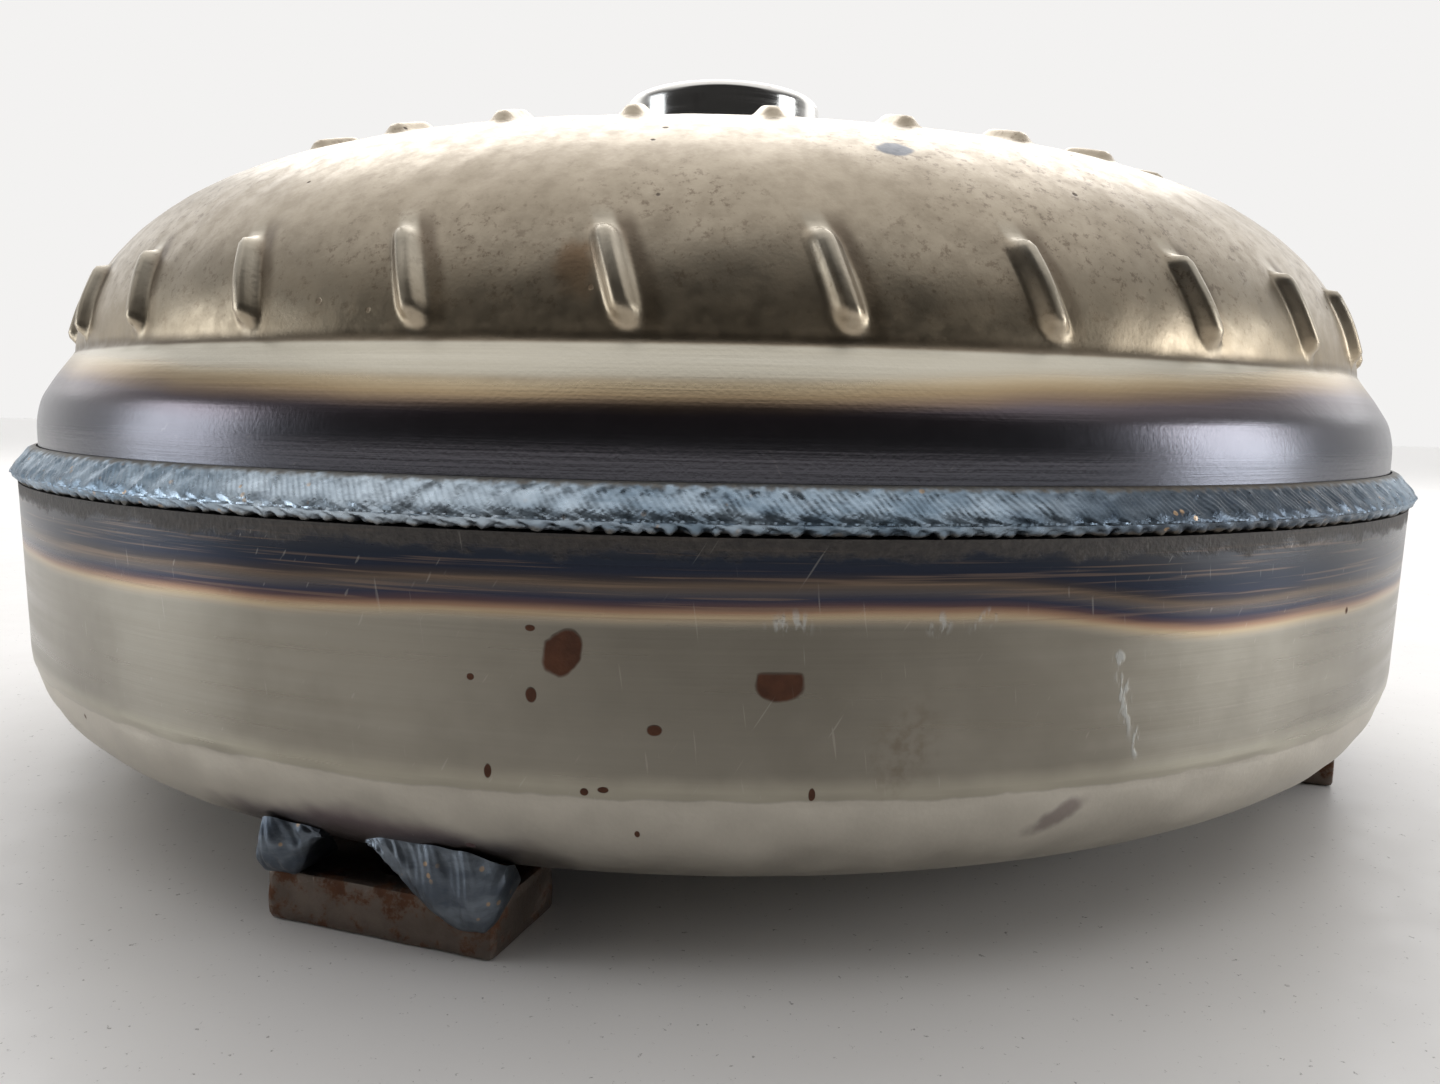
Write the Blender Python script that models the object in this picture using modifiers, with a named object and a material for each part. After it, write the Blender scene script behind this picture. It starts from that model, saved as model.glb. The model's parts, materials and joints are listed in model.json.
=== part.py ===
"""Torque converter of the four-lug, lock-up kind, about 300 mm across, lying on its lugs with the pump hub up.

The welded housing holds a turbine, a stator on a one-way roller clutch, and a lock-up piston with a sprung
damper. Origin: on the axis, in the plane of the lug faces. +Z runs along the axis, from the engine side to the
gearbox side. Azimuths are measured from -Y towards +X. Sizes below are in millimetres, and MM turns them into
Blender's metres.
"""

import math

import bmesh
import bpy
from mathutils import Matrix, Vector

MM = 0.001
GAP = 0.3                      # clearance that touching pieces keep

# Driving dimensions of the housing
COVER_R = 151.0                # skirt, at its open edge
COVER_FOOT_R = 150.4           # skirt, where the corner starts
COVER_FLAT_R = 118.3           # the flat annulus ends and the corner starts
COVER_FLAT_Z = 8.3             # underside of the flat annulus
COVER_CORNER_H = 22.7          # height of the corner
CORNER_POWER = 2.4             # 2 would make the corner an ellipse
COVER_EDGE_Z = 59.5            # open edge of the skirt
COVER_T = 4.3
CENTRE_Z = 11.3                # underside of the cover's raised middle
BAND_R = 147.6                 # impeller band that slides into the skirt
BAND_FOOT_Z = 47.0
BAND_TOP_Z = 70.0
SHELL_T = 3.2
SPLIT_Z = 80.0                 # plane between the impeller and the turbine
DOME_R = 141.0                 # dome at the split plane
CREST_R = 83.0                 # circle of the dome's crest
CREST_H = 43.0                 # crest above the split plane
DOME_FOOT_Z = 82.0
HUB_SEAT_R = 50.0              # the dome's inner flat starts here
HUB_SEAT_Z = 104.5
HUB_R = 23.8                   # pump drive hub
HUB_BORE_R = 20.5
HUB_TOP_Z = 149.5
HUB_FLANGE_R = 36.7
HUB_FLANGE_Z = (100.0, 104.2)
NOTCH_W, NOTCH_DEPTH = 10.0, 9.0
LUG_R = (124.35, 142.35)       # inner and outer face of a lug
LUG_W = 37.0
LUG_H = 7.8
LUG_HOLE_R = 4.25              # tapping size of an M10 thread
LUG_COUNT = 4
LUG_AZIMUTH = -19.0
PILOT_R = 21.5
PILOT_FOOT_Z = 2.0

# Torus: blades and cores
IMPELLER_BLADES = 31
TURBINE_BLADES = 29
STATOR_BLADES = 15
RIB_AZIMUTH = 6.5              # azimuth of one rib's middle
RIB_ANGLES = (10.0, 29.0)      # a rib's ends, as angles round the dome's section
BLADE_SWEEP = -0.13            # degrees of azimuth for each degree round the section
CORE_R, CORE_A, CORE_B, CORE_T = 88.0, 22.0, 16.0, 1.4
BLADE_T = 1.2
BLADE_ANGLES = (8.0, 45.0, 90.0, 130.0)
TURBINE_Z = 78.0               # turbine side of the split plane
TURBINE_A, TURBINE_A_IN, TURBINE_B, TURBINE_T = 54.3, 38.3, 38.8, 1.8
TURBINE_SEGMENTS = 32

# Turbine hub, damper and piston
HUB_BARREL_R = 30.0
TURBINE_FLANGE_R = 50.0
TURBINE_FLANGE_Z = (49.0, 53.0)
TURBINE_RIVETS, TURBINE_RIVET_PCR = 4, 44.0
DRIVEN_PLATE_T = 2.6
SPRING_COUNT = 6
SPRING_LINE_R = 104.0          # distance from the axis to a spring's own line
SPRING_Z = 29.5
SPRING_COIL_R, SPRING_WIRE_R = 4.8, 1.2
SPRING_LENGTH, SPRING_TURNS = 52.0, 5.0
WINDOW_L, WINDOW_W = 56.0, 13.4
DAMPER_RIVETS, DAMPER_RIVET_PCR, DAMPER_RIVET_AZIMUTH = 3, 122.0, 30.0
PISTON_R = 130.0
PISTON_FOOT_Z, PISTON_T = 16.2, 2.8
LINING_T = 1.7
LINING_R = (96.0, 115.0)
FINGER_COUNT = 6

# Stator and one-way clutch
STATOR_Z = (70.0, 88.0)
ROLLER_COUNT, ROLLER_R, ROLLER_PCR = 6, 2.9, 30.4
RACE_Z = (70.5, 87.5)

# Segments round the axis
ROUND, FINE_ROUND, SMALL_ROUND, RIVET_SIDES = 30, 44, 20, 6


def material(name, colour, roughness, metallic=1.0):
    made = bpy.data.materials.new(name)
    made.use_nodes = True
    shader = made.node_tree.nodes["Principled BSDF"]
    shader.inputs["Base Color"].default_value = (*colour, 1.0)
    shader.inputs["Roughness"].default_value = roughness
    shader.inputs["Metallic"].default_value = metallic
    return made


def clear_scene():
    for obj in list(bpy.data.objects):
        bpy.data.objects.remove(obj)


def collection(name, hidden=False):
    made = bpy.data.collections.new(name)
    bpy.context.scene.collection.children.link(made)
    made.hide_render = hidden
    return made


def add_object(name, data, finish=None, helper=False):
    obj = bpy.data.objects.new(name, data)
    (helpers if helper else parts).objects.link(obj)
    if helper:
        obj.hide_render = True
        obj.display_type = "WIRE"
    elif finish is not None:
        obj.data.materials.append(finish)
    return obj


def turned(name, profile, finish=None, segments=ROUND, helper=False, first_azimuth=0.0):
    """A closed outline of (radius, height) in mm, turned round the axis. It runs down its outer side."""
    mesh = bpy.data.meshes.new(name)
    shape = bmesh.new()
    turn = Matrix.Rotation(math.radians(first_azimuth), 4, "Z")
    ring = [shape.verts.new(turn @ Vector((r * MM, 0.0, z * MM))) for r, z in profile]
    for here, there in zip(ring, ring[1:] + ring[:1]):
        shape.edges.new((here, there))
    shape.to_mesh(mesh)
    shape.free()
    obj = add_object(name, mesh, finish, helper)
    turn_round(obj, segments)
    return obj


def spun(name, profile, finish, segments, placed=None):
    """An open outline that starts and ends on the local Z axis, turned round it."""
    shape = bmesh.new()
    ring = [shape.verts.new(Vector((r, 0.0, z)) * MM) for r, z in profile]
    for here, there in zip(ring, ring[1:]):
        shape.edges.new((here, there))
    obj = from_bmesh(name, shape, finish)
    if placed is not None:
        obj.matrix_world = placed
    turn_round(obj, segments)


def turn_round(obj, segments):
    screw = obj.modifiers.new("turn", "SCREW")
    screw.steps = screw.render_steps = segments
    screw.use_merge_vertices = True
    screw.merge_threshold = 1e-5


def from_bmesh(name, shape, finish=None, helper=False):
    mesh = bpy.data.meshes.new(name)
    shape.to_mesh(mesh)
    shape.free()
    return add_object(name, mesh, finish, helper)


def at_azimuth(azimuth, radius=0.0, z=0.0):
    """Matrix whose local X runs outwards, local Y tangentially and local Z up, at that azimuth and radius."""
    turn = Matrix.Rotation(math.radians(azimuth - 90.0), 4, "Z")
    return turn @ Matrix.Translation(Vector((radius, 0.0, z)) * MM)


def add_box(shape, size, placed):
    made = bmesh.ops.create_cube(shape, size=1.0)["verts"]
    bmesh.ops.transform(shape, matrix=placed @ Matrix.Diagonal((*(Vector(size) * MM), 1.0)), verts=made)


def add_cylinder(shape, radius, height, placed, sides=12):
    made = bmesh.ops.create_cone(
        shape, cap_ends=True, segments=sides, radius1=radius * MM, radius2=radius * MM, depth=height * MM
    )["verts"]
    bmesh.ops.transform(shape, matrix=placed, verts=made)


def boolean(obj, other, operation="DIFFERENCE"):
    step = obj.modifiers.new(operation.lower(), "BOOLEAN")
    step.operation = operation
    step.object = other
    return obj


def ring_of(count, first=0.0):
    """Azimuths of equally spaced copies."""
    return [first + 360.0 * k / count for k in range(count)]


def drilled(obj, azimuths, radius, hole_r, z_range, sides=12):
    """Holes along Z through obj."""
    shape = bmesh.new()
    middle, height = sum(z_range) / 2, z_range[1] - z_range[0]
    for azimuth in azimuths:
        add_cylinder(shape, hole_r, height, at_azimuth(azimuth, radius, middle), sides)
    return boolean(obj, from_bmesh(obj.name + "_holes", shape, helper=True))


def arc_points(centre, semi_axes, start, end, steps):
    """Points on an ellipse (radius, height), from angle start to angle end in degrees."""
    angles = [math.radians(start + (end - start) * k / steps) for k in range(steps + 1)]
    return [
        (centre[0] + semi_axes[0] * math.cos(a), centre[1] + semi_axes[1] * math.sin(a)) for a in angles
    ]


def thickened(line, thickness, skipped=()):
    """Closes an outline with a copy of the line moved by thickness to its right-hand side.

    The copy leaves out the points whose numbers are in skipped.
    """
    moved = []
    for k, (r, z) in enumerate(line):
        before, after = line[max(k - 1, 0)], line[min(k + 1, len(line) - 1)]
        along = Vector((after[0] - before[0], after[1] - before[1])).normalized()
        if k not in skipped:
            moved.append((r + along.y * thickness, z - along.x * thickness))
    return line + moved[::-1]


def washer(inner, outer, low, high):
    return [(inner, high), (outer, high), (outer, low), (inner, low)]


def spline_cutter(name, root_r, tip_r, teeth, z_range):
    """A toothed prism that cuts an internal spline."""
    shape = bmesh.new()
    middle, height = sum(z_range) / 2, z_range[1] - z_range[0]
    made = bmesh.ops.create_cone(
        shape, cap_ends=True, segments=4 * teeth, radius1=root_r * MM, radius2=root_r * MM, depth=height * MM
    )["verts"]
    for vert in made:
        angle = math.atan2(vert.co.y, vert.co.x)
        step = round(angle / (2 * math.pi) * 4 * teeth) % 4
        if step in (2, 3):
            vert.co.xy *= tip_r / root_r
        vert.co.z += middle * MM
    return from_bmesh(name, shape, helper=True)


# --- Housing -------------------------------------------------------------------------------------------------


def cover_corner(steps):
    """The outer surface from the skirt down round the corner to the flat annulus."""
    angles = [math.pi / 2 * k / steps for k in range(steps + 1)]
    wide, power = COVER_FOOT_R - COVER_FLAT_R, 2 / CORNER_POWER
    return [
        (COVER_FLAT_R + wide * math.cos(a) ** power, COVER_FLAT_Z + COVER_CORNER_H * (1 - math.sin(a) ** power))
        for a in angles
    ]


def corner_height(radius):
    """Height of the cover's outer corner at a radius."""
    share = (radius - COVER_FLAT_R) / (COVER_FOOT_R - COVER_FLAT_R)
    return COVER_FLAT_Z + COVER_CORNER_H * (1 - (1 - share**CORNER_POWER) ** (1 / CORNER_POWER))


def make_front_cover():
    line = [(COVER_R, COVER_EDGE_Z)] + cover_corner(7) + [(92.0, COVER_FLAT_Z), (78.0, CENTRE_Z)]
    line += [(PILOT_R * 0.68, CENTRE_Z)]
    outline = thickened(line, COVER_T, skipped=(2, 4, 6))
    skirt_bore = BAND_R + GAP
    outline[-1] = (skirt_bore, COVER_EDGE_Z)
    outline.insert(-1, (skirt_bore - 1.6, BAND_FOOT_Z - 1.0))
    outline.insert(-1, (skirt_bore, BAND_FOOT_Z - 1.0))
    turned("front_cover", outline, STEEL, FINE_ROUND)


def make_crank_pilot():
    stub_r = PILOT_R * 0.68 - GAP
    profile = [
        (0.0, CENTRE_Z + 3.5), (stub_r, CENTRE_Z + 3.5), (stub_r, CENTRE_Z - GAP), (PILOT_R, CENTRE_Z - GAP),
        (PILOT_R, PILOT_FOOT_Z + 1.5), (PILOT_R - 1.5, PILOT_FOOT_Z), (0.0, PILOT_FOOT_Z),
    ]
    spun("crank_pilot", profile, STEEL, ROUND)


def make_lugs():
    middle = sum(LUG_R) / 2
    depth = LUG_R[1] - LUG_R[0]
    for number, azimuth in enumerate(ring_of(LUG_COUNT, LUG_AZIMUTH), 1):
        shape = bmesh.new()
        add_box(shape, (depth, LUG_W, LUG_H), Matrix.Translation((0, 0, 0)))
        lug = from_bmesh(f"mounting_lug_{number}", shape, LUG_STEEL)
        lug.matrix_world = at_azimuth(azimuth, middle, LUG_H / 2)
        edge = lug.modifiers.new("edge", "BEVEL")
        edge.width = 0.8 * MM
        edge.segments = 1
        hole = bmesh.new()
        add_cylinder(hole, LUG_HOLE_R, 3 * LUG_H, at_azimuth(azimuth, middle, LUG_H / 2), 16)
        boolean(lug, from_bmesh(f"lug_hole_{number}", hole, helper=True))
        for side, share in (("left", -1), ("right", 1)):
            make_lug_weld(f"lug_weld_{number}_{side}", azimuth, share)


def make_lug_weld(name, azimuth, side):
    """A fillet bead that fills the space between the lug's end and the cover's corner."""
    inner, outer, width = LUG_R[0] + 3.5, LUG_R[1] + 0.6, 12.5
    radii = [inner + (outer - inner) * k / 5 for k in range(6)]
    top = [(r, corner_height(r + 0.4) - 0.45) for r in radii]
    face = [(outer - 0.2, LUG_H + 4.2), (LUG_R[1] - 0.6, LUG_H + GAP)]
    outline = top + face + [(inner, LUG_H + GAP)]
    curve = bpy.data.curves.new(name, "CURVE")
    curve.dimensions = "2D"
    curve.fill_mode = "BOTH"
    curve.extrude = width / 2 * MM
    spline = curve.splines.new("POLY")
    spline.points.add(len(outline) - 1)
    for point, (r, z) in zip(spline.points, outline):
        point.co = (r * MM, z * MM, 0.0, 1.0)
    spline.use_cyclic_u = True
    bead = add_object(name, curve, WELD)
    offset = side * (LUG_W / 2 - width / 2)
    stand_up = Matrix.Rotation(math.radians(90.0), 4, "X")
    bead.matrix_world = at_azimuth(azimuth) @ Matrix.Translation((0.0, offset * MM, 0.0)) @ stand_up


def make_girth_weld():
    inner, foot, head = BAND_R + GAP, COVER_EDGE_Z + GAP, COVER_EDGE_Z + 6.2
    outline = [
        (inner, head), (inner + 1.6, head - 0.2), (inner + 4.5, head - 3.2), (inner + 4.5, foot + 0.8),
        (inner + 3.6, foot), (inner, foot),
    ]
    turned("girth_weld", outline, WELD, FINE_ROUND)


def dome_point(angle, lift=0.0):
    """A point on the dome's outer surface, angle degrees round its section from the split plane."""
    a = math.radians(angle)
    wide = DOME_R - CREST_R if angle <= 90.0 else 40.0
    return (CREST_R + (wide + lift) * math.cos(a), SPLIT_Z + (CREST_H + lift) * math.sin(a))


def dome_line():
    """The impeller shell's outer surface, from its rim to its seat for the hub."""
    shoulder = [
        (BAND_R, BAND_FOOT_Z), (BAND_R, BAND_TOP_Z), (BAND_R - 1.4, 75.2), (143.6, 78.2), (141.4, DOME_FOOT_Z),
    ]
    outer = [dome_point(angle) for angle in (12, 26, 45, 68, 90)]
    inner = [dome_point(angle) for angle in (112, 130)]
    return shoulder + outer + inner + [(HUB_SEAT_R, HUB_SEAT_Z), (HUB_FLANGE_R + GAP, HUB_SEAT_Z)]


def make_impeller_shell():
    line = dome_line()[::-1]
    shell = turned("impeller_shell", thickened(line, SHELL_T, skipped=(5, 7, 9)), STEEL, FINE_ROUND)
    ribs = bmesh.new()
    for azimuth in ring_of(IMPELLER_BLADES, RIB_AZIMUTH):
        add_rib(ribs, azimuth)
    boolean(shell, from_bmesh("pressed_ribs", ribs, helper=True), "UNION")


def add_rib(shape, azimuth):
    """One raised rib, pressed outwards where a blade's tab sits. It leans as the blade does."""
    middle = sum(RIB_ANGLES) / 2
    ends = [
        at_azimuth(azimuth + BLADE_SWEEP * (angle - middle)) @ (Vector((r, 0.0, z)) * MM)
        for angle in RIB_ANGLES
        for r, z in [dome_point(angle, 0.1)]
    ]
    spot = (ends[0] + ends[1]) / 2
    along = (ends[1] - ends[0]).normalized()
    radial = Vector((spot.x, spot.y, 0.0)).normalized()
    slope = math.radians(middle)
    outward = radial * math.cos(slope) + Vector((0.0, 0.0, math.sin(slope)))
    outward = (outward - along * outward.dot(along)).normalized()
    across = outward.cross(along)
    axes = Matrix((along, across, outward)).transposed().to_4x4()
    length = (ends[1] - ends[0]).length / MM
    made = bmesh.ops.create_cone(
        shape, cap_ends=True, segments=6, radius1=2.3 * MM, radius2=1.2 * MM, depth=3.4 * MM
    )["verts"]
    for vert in made:
        vert.co.x += math.copysign((length / 2 - 2.0) * MM, vert.co.x)
    bmesh.ops.transform(shape, matrix=Matrix.Translation(spot) @ axes, verts=made)


def make_impeller_hub():
    low, high = HUB_FLANGE_Z
    outline = [
        (HUB_BORE_R, HUB_TOP_Z), (HUB_R - 1.2, HUB_TOP_Z), (HUB_R, HUB_TOP_Z - 1.2), (HUB_R, high + 1.5),
        (HUB_R + 1.5, high), (HUB_FLANGE_R, high), (HUB_FLANGE_R, low), (HUB_BORE_R, low),
    ]
    hub = turned("impeller_hub", outline, GROUND_STEEL, 32)
    shape = bmesh.new()
    add_box(shape, (3 * HUB_R, NOTCH_W, 2 * NOTCH_DEPTH), Matrix.Translation((0, 0, HUB_TOP_Z * MM)))
    boolean(hub, from_bmesh("hub_notches", shape, helper=True))


def make_hub_weld():
    foot = HUB_SEAT_Z + GAP
    outline = [(35.2, foot + 1.2), (37.0, foot + 1.8), (38.8, foot + 1.2), (39.8, foot), (34.4, foot)]
    turned("hub_weld", outline, WELD, ROUND)


# --- Blade wheels --------------------------------------------------------------------------------------------


def torus_point(angle, share, shell_axes, shell_inner_a):
    """A point in the flow passage: share 0 on the core ring, 1 on the shell."""
    a = math.radians(angle)
    wide = shell_axes[0] if angle <= 90.0 else shell_inner_a
    shell = (CREST_R + wide * math.cos(a), shell_axes[1] * math.sin(a))
    core = (CORE_R + (CORE_A - CORE_T / 2) * math.cos(a), (CORE_B - CORE_T / 2) * math.sin(a))
    return tuple(c + (s - c) * share for c, s in zip(core, shell))


def blade_wheel(name, blades, first, sweep, middle_z, side, shell_axes, shell_inner_a):
    """Curved blades brazed to their core ring. side is 1 above the split plane and -1 below it.

    Each row of points goes once round the axis at one angle of the section, two points for each blade.
    """
    shape = bmesh.new()
    inner, outer, tip = [], [], []
    for angle in BLADE_ANGLES:
        core = torus_point(angle, 0.0, shell_axes, shell_inner_a)
        shell = torus_point(angle, 1.0, shell_axes, shell_inner_a)
        away = Vector((shell[0] - core[0], shell[1] - core[1])).normalized() * CORE_T / 2
        places = ((inner, (core[0] - away.x, core[1] - away.y)), (outer, (core[0] + away.x, core[1] + away.y)))
        for rows, (r, h) in (*places, (tip, shell)):
            half = math.degrees(BLADE_T / 2 / r)
            azimuths = [
                azimuth + half * edge + sweep * (angle - BLADE_ANGLES[0])
                for azimuth in ring_of(blades, first)
                for edge in (-1, 1)
            ]
            spot = Vector((r, 0.0, middle_z + side * h)) * MM
            rows.append([shape.verts.new(at_azimuth(azimuth) @ spot) for azimuth in azimuths])
    last = len(BLADE_ANGLES) - 1
    for j in range(2 * blades):
        after, on_blade = (j + 1) % (2 * blades), j % 2 == 0
        crown = tip if on_blade else outer
        for k in range(last):
            shape.faces.new((inner[k][j], inner[k][after], inner[k + 1][after], inner[k + 1][j]))
            shape.faces.new((crown[k][j], crown[k][after], crown[k + 1][after], crown[k + 1][j]))
            shape.faces.new((outer[k][j], outer[k + 1][j], tip[k + 1][j], tip[k][j]))
        for k in (0, last):
            shape.faces.new((inner[k][j], inner[k][after], outer[k][after], outer[k][j]))
            if on_blade:
                shape.faces.new((outer[k][j], outer[k][after], tip[k][after], tip[k][j]))
    bmesh.ops.recalc_face_normals(shape, faces=shape.faces)
    return from_bmesh(name, shape, BLADE_STEEL)


def make_blade_wheels():
    inner_a = DOME_R - CREST_R - SHELL_T - 2 * GAP
    inner_b = CREST_H - SHELL_T - 2 * GAP
    blade_wheel(
        "impeller_blade_wheel", IMPELLER_BLADES, RIB_AZIMUTH, BLADE_SWEEP, SPLIT_Z, 1, (inner_a, inner_b), 34.0
    )
    blade_wheel(
        "turbine_blade_wheel", TURBINE_BLADES, 0.0, -2.2 * BLADE_SWEEP, TURBINE_Z, -1,
        (TURBINE_A - TURBINE_T - 4 * GAP, TURBINE_B - TURBINE_T - 4 * GAP), 33.5,
    )


# --- Turbine -------------------------------------------------------------------------------------------------


def make_turbine_shell():
    outer = arc_points((CREST_R, TURBINE_Z), (TURBINE_A, TURBINE_B), 0.0, -90.0, 6)
    inner = arc_points((CREST_R, TURBINE_Z), (TURBINE_A_IN, TURBINE_B), -105.0, -136.0, 2)
    seat = TURBINE_FLANGE_Z[1] + GAP
    line = outer + inner + [(50.5, seat), (38.6, seat)]
    shell = turned("turbine_shell", thickened(line, TURBINE_T), BLADE_STEEL, TURBINE_SEGMENTS)
    drilled(shell, ring_of(TURBINE_RIVETS), TURBINE_RIVET_PCR, 2.9, (seat - 3, seat + 6), 10)


def make_turbine_hub():
    low, high = TURBINE_FLANGE_Z
    boss_top, foot = 58.0, 18.7
    groove = (23.4, 26.2)
    outline = [
        (11.0, boss_top), (38.0, boss_top), (38.0, high), (TURBINE_FLANGE_R, high), (TURBINE_FLANGE_R, low),
        (HUB_BARREL_R + 4.0, low), (HUB_BARREL_R + 4.0, 46.0), (HUB_BARREL_R, 44.0),
        (HUB_BARREL_R, groove[1]), (HUB_BARREL_R - 2.6, groove[1]), (HUB_BARREL_R - 2.6, groove[0]),
        (HUB_BARREL_R, groove[0]), (HUB_BARREL_R, foot), (11.0, foot),
    ]
    hub = turned("turbine_hub", outline, GROUND_STEEL, ROUND)
    boolean(hub, spline_cutter("turbine_spline", 13.2, 12.0, 16, (10.0, 70.0)))
    drilled(hub, ring_of(TURBINE_RIVETS), TURBINE_RIVET_PCR, 2.9, (low - 3, high + 3), 10)
    seal = [(HUB_BARREL_R + 0.1, 25.8), (HUB_BARREL_R + 0.1, 23.8), (27.8, 23.8), (27.8, 25.8)]
    turned("piston_seal_ring", seal, SEAL, ROUND)


def make_driven_plate():
    """Dished plate that joins the damper springs to the turbine hub."""
    under = TURBINE_FLANGE_Z[0] - GAP
    top = [(34.6, under), (50.0, under), (56.0, 46.2), (66.0, 40.0), (80.0, 33.0), (92.0, 30.8), (117.0, 30.8)]
    plate = turned("damper_driven_plate", thickened(top, DRIVEN_PLATE_T), STAMPED_STEEL, ROUND)
    drilled(plate, ring_of(TURBINE_RIVETS), TURBINE_RIVET_PCR, 2.9, (40.0, 55.0), 10)
    boolean(plate, spring_windows("driven_windows", WINDOW_L, WINDOW_W))


def rivet(name, radius, azimuth, z_range, shank_r, head_r, head_h):
    low, high = z_range
    profile = [
        (0.0, high), (head_r * 0.7, high), (head_r, high - head_h), (shank_r, high - head_h),
        (shank_r, low + head_h), (head_r, low + head_h), (head_r * 0.7, low), (0.0, low),
    ]
    spun(name, profile, RIVET_STEEL, RIVET_SIDES, at_azimuth(azimuth, radius))


def make_turbine_rivets():
    low = TURBINE_FLANGE_Z[0] - GAP - DRIVEN_PLATE_T - GAP - 1.8
    high = TURBINE_FLANGE_Z[1] + GAP + TURBINE_T + GAP + 1.8
    for number, azimuth in enumerate(ring_of(TURBINE_RIVETS), 1):
        rivet(f"turbine_rivet_{number}", TURBINE_RIVET_PCR, azimuth, (low, high), 2.5, 4.0, 1.8)


# --- Lock-up damper and piston -------------------------------------------------------------------------------


def spring_windows(name, length, width):
    shape = bmesh.new()
    for azimuth in ring_of(SPRING_COUNT, 30.0):
        add_box(shape, (width, length, 16.0), at_azimuth(azimuth, SPRING_LINE_R, SPRING_Z))
    return from_bmesh(name, shape, helper=True)


def make_damper_plates():
    """Front and rear plates that hold the springs. The front one has fingers that drive the piston's rim."""
    front_low, front_high = 21.5, 23.2
    front = turned("damper_front_plate", washer(88.0, 127.0, front_low, front_high), STAMPED_STEEL, ROUND)
    fingers = bmesh.new()
    for azimuth in ring_of(FINGER_COUNT):
        add_box(fingers, (2.0, 12.0, 7.2), at_azimuth(azimuth, 125.6, front_low - 2.0))
    boolean(front, from_bmesh("damper_fingers", fingers, helper=True), "UNION")
    rear = turned("damper_rear_plate", washer(88.0, 125.5, 35.9, 37.6), STAMPED_STEEL, ROUND)
    for plate in (front, rear):
        boolean(plate, spring_windows(plate.name + "_windows", WINDOW_L - 4.0, 8.0))
        drilled(plate, ring_of(DAMPER_RIVETS, DAMPER_RIVET_AZIMUTH), DAMPER_RIVET_PCR, 2.4, (15.0, 45.0), 10)
    for number, azimuth in enumerate(ring_of(DAMPER_RIVETS, DAMPER_RIVET_AZIMUTH), 1):
        rivet(f"damper_rivet_{number}", DAMPER_RIVET_PCR, azimuth, (front_low - 1.8, 39.4), 2.0, 3.2, 1.5)


def make_damper_springs():
    steps_a_turn = 6
    count = int(SPRING_TURNS * steps_a_turn) + 1
    for number, azimuth in enumerate(ring_of(SPRING_COUNT, 30.0), 1):
        curve = bpy.data.curves.new(f"damper_spring_{number}", "CURVE")
        curve.dimensions = "3D"
        curve.bevel_depth = SPRING_WIRE_R * MM
        curve.bevel_resolution = 0
        curve.use_fill_caps = True
        wire = curve.splines.new("POLY")
        wire.points.add(count - 1)
        for k, point in enumerate(wire.points):
            turn = 2 * math.pi * k / steps_a_turn
            along = (k / (count - 1) - 0.5) * (SPRING_LENGTH - 2 * SPRING_WIRE_R)
            point.co = (SPRING_COIL_R * math.cos(turn) * MM, along * MM, SPRING_COIL_R * math.sin(turn) * MM, 1.0)
        spring = add_object(curve.name, curve, SPRING_STEEL)
        spring.matrix_world = at_azimuth(azimuth, SPRING_LINE_R, SPRING_Z)


def make_piston():
    """The piston slides on the turbine hub's barrel, and its lining grips the cover's flat annulus."""
    foot, bore_r = PISTON_FOOT_Z, HUB_BARREL_R + 0.4
    top = [
        (bore_r, foot + 15.0), (bore_r + 2.6, foot + 15.0), (bore_r + 4.0, foot + 9.0), (76.0, foot + 9.0),
        (92.0, foot + PISTON_T), (PISTON_R, foot + PISTON_T),
    ]
    rim = [(PISTON_R, foot), (92.0, foot), (76.0, foot + 9.0 - PISTON_T), (bore_r, foot + 9.0 - PISTON_T)]
    piston = turned("lockup_piston", top + rim, STAMPED_STEEL, ROUND)
    slots = bmesh.new()
    for azimuth in ring_of(FINGER_COUNT):
        add_box(slots, (12.0, 13.0, 12.0), at_azimuth(azimuth, 129.8, foot + PISTON_T / 2))
    boolean(piston, from_bmesh("piston_slots", slots, helper=True))
    lining_top = foot - GAP
    turned("friction_lining", washer(*LINING_R, lining_top - LINING_T, lining_top), LINING, ROUND)


# --- Stator and one-way clutch -------------------------------------------------------------------------------


def make_stator():
    low, high = STATOR_Z
    hub_r, shroud_r = 47.0, 71.0
    wheel = turned("stator_wheel", washer(40.0, hub_r, low, high), CAST_ALUMINIUM, 2 * STATOR_BLADES)
    shroud = turned("stator_shroud", washer(shroud_r, shroud_r + 2.0, low, high), None, 2 * STATOR_BLADES, True)
    boolean(wheel, shroud, "UNION")
    blades = bmesh.new()
    chord, lean = 13.0, 32.0
    for azimuth in ring_of(STATOR_BLADES):
        made = bmesh.ops.create_cone(
            blades, cap_ends=True, segments=8, radius1=MM, radius2=MM, depth=(shroud_r - hub_r + 2.0) * MM
        )["verts"]
        for vert in made:
            share = vert.co.x / MM
            vert.co.x = chord / 2 * share * MM
            vert.co.y = (vert.co.y * (1.6 + 0.9 * share)) + 0.9 * (1 - share * share) * MM
        stand = Matrix.Rotation(math.radians(90.0), 4, "Y")
        pitch = Matrix.Rotation(math.radians(lean), 4, "X")
        placed = at_azimuth(azimuth, (shroud_r + hub_r) / 2 + 0.2, (low + high) / 2) @ pitch @ stand
        bmesh.ops.transform(blades, matrix=placed, verts=made)
    boolean(wheel, from_bmesh("stator_blades", blades, helper=True), "UNION")


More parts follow.
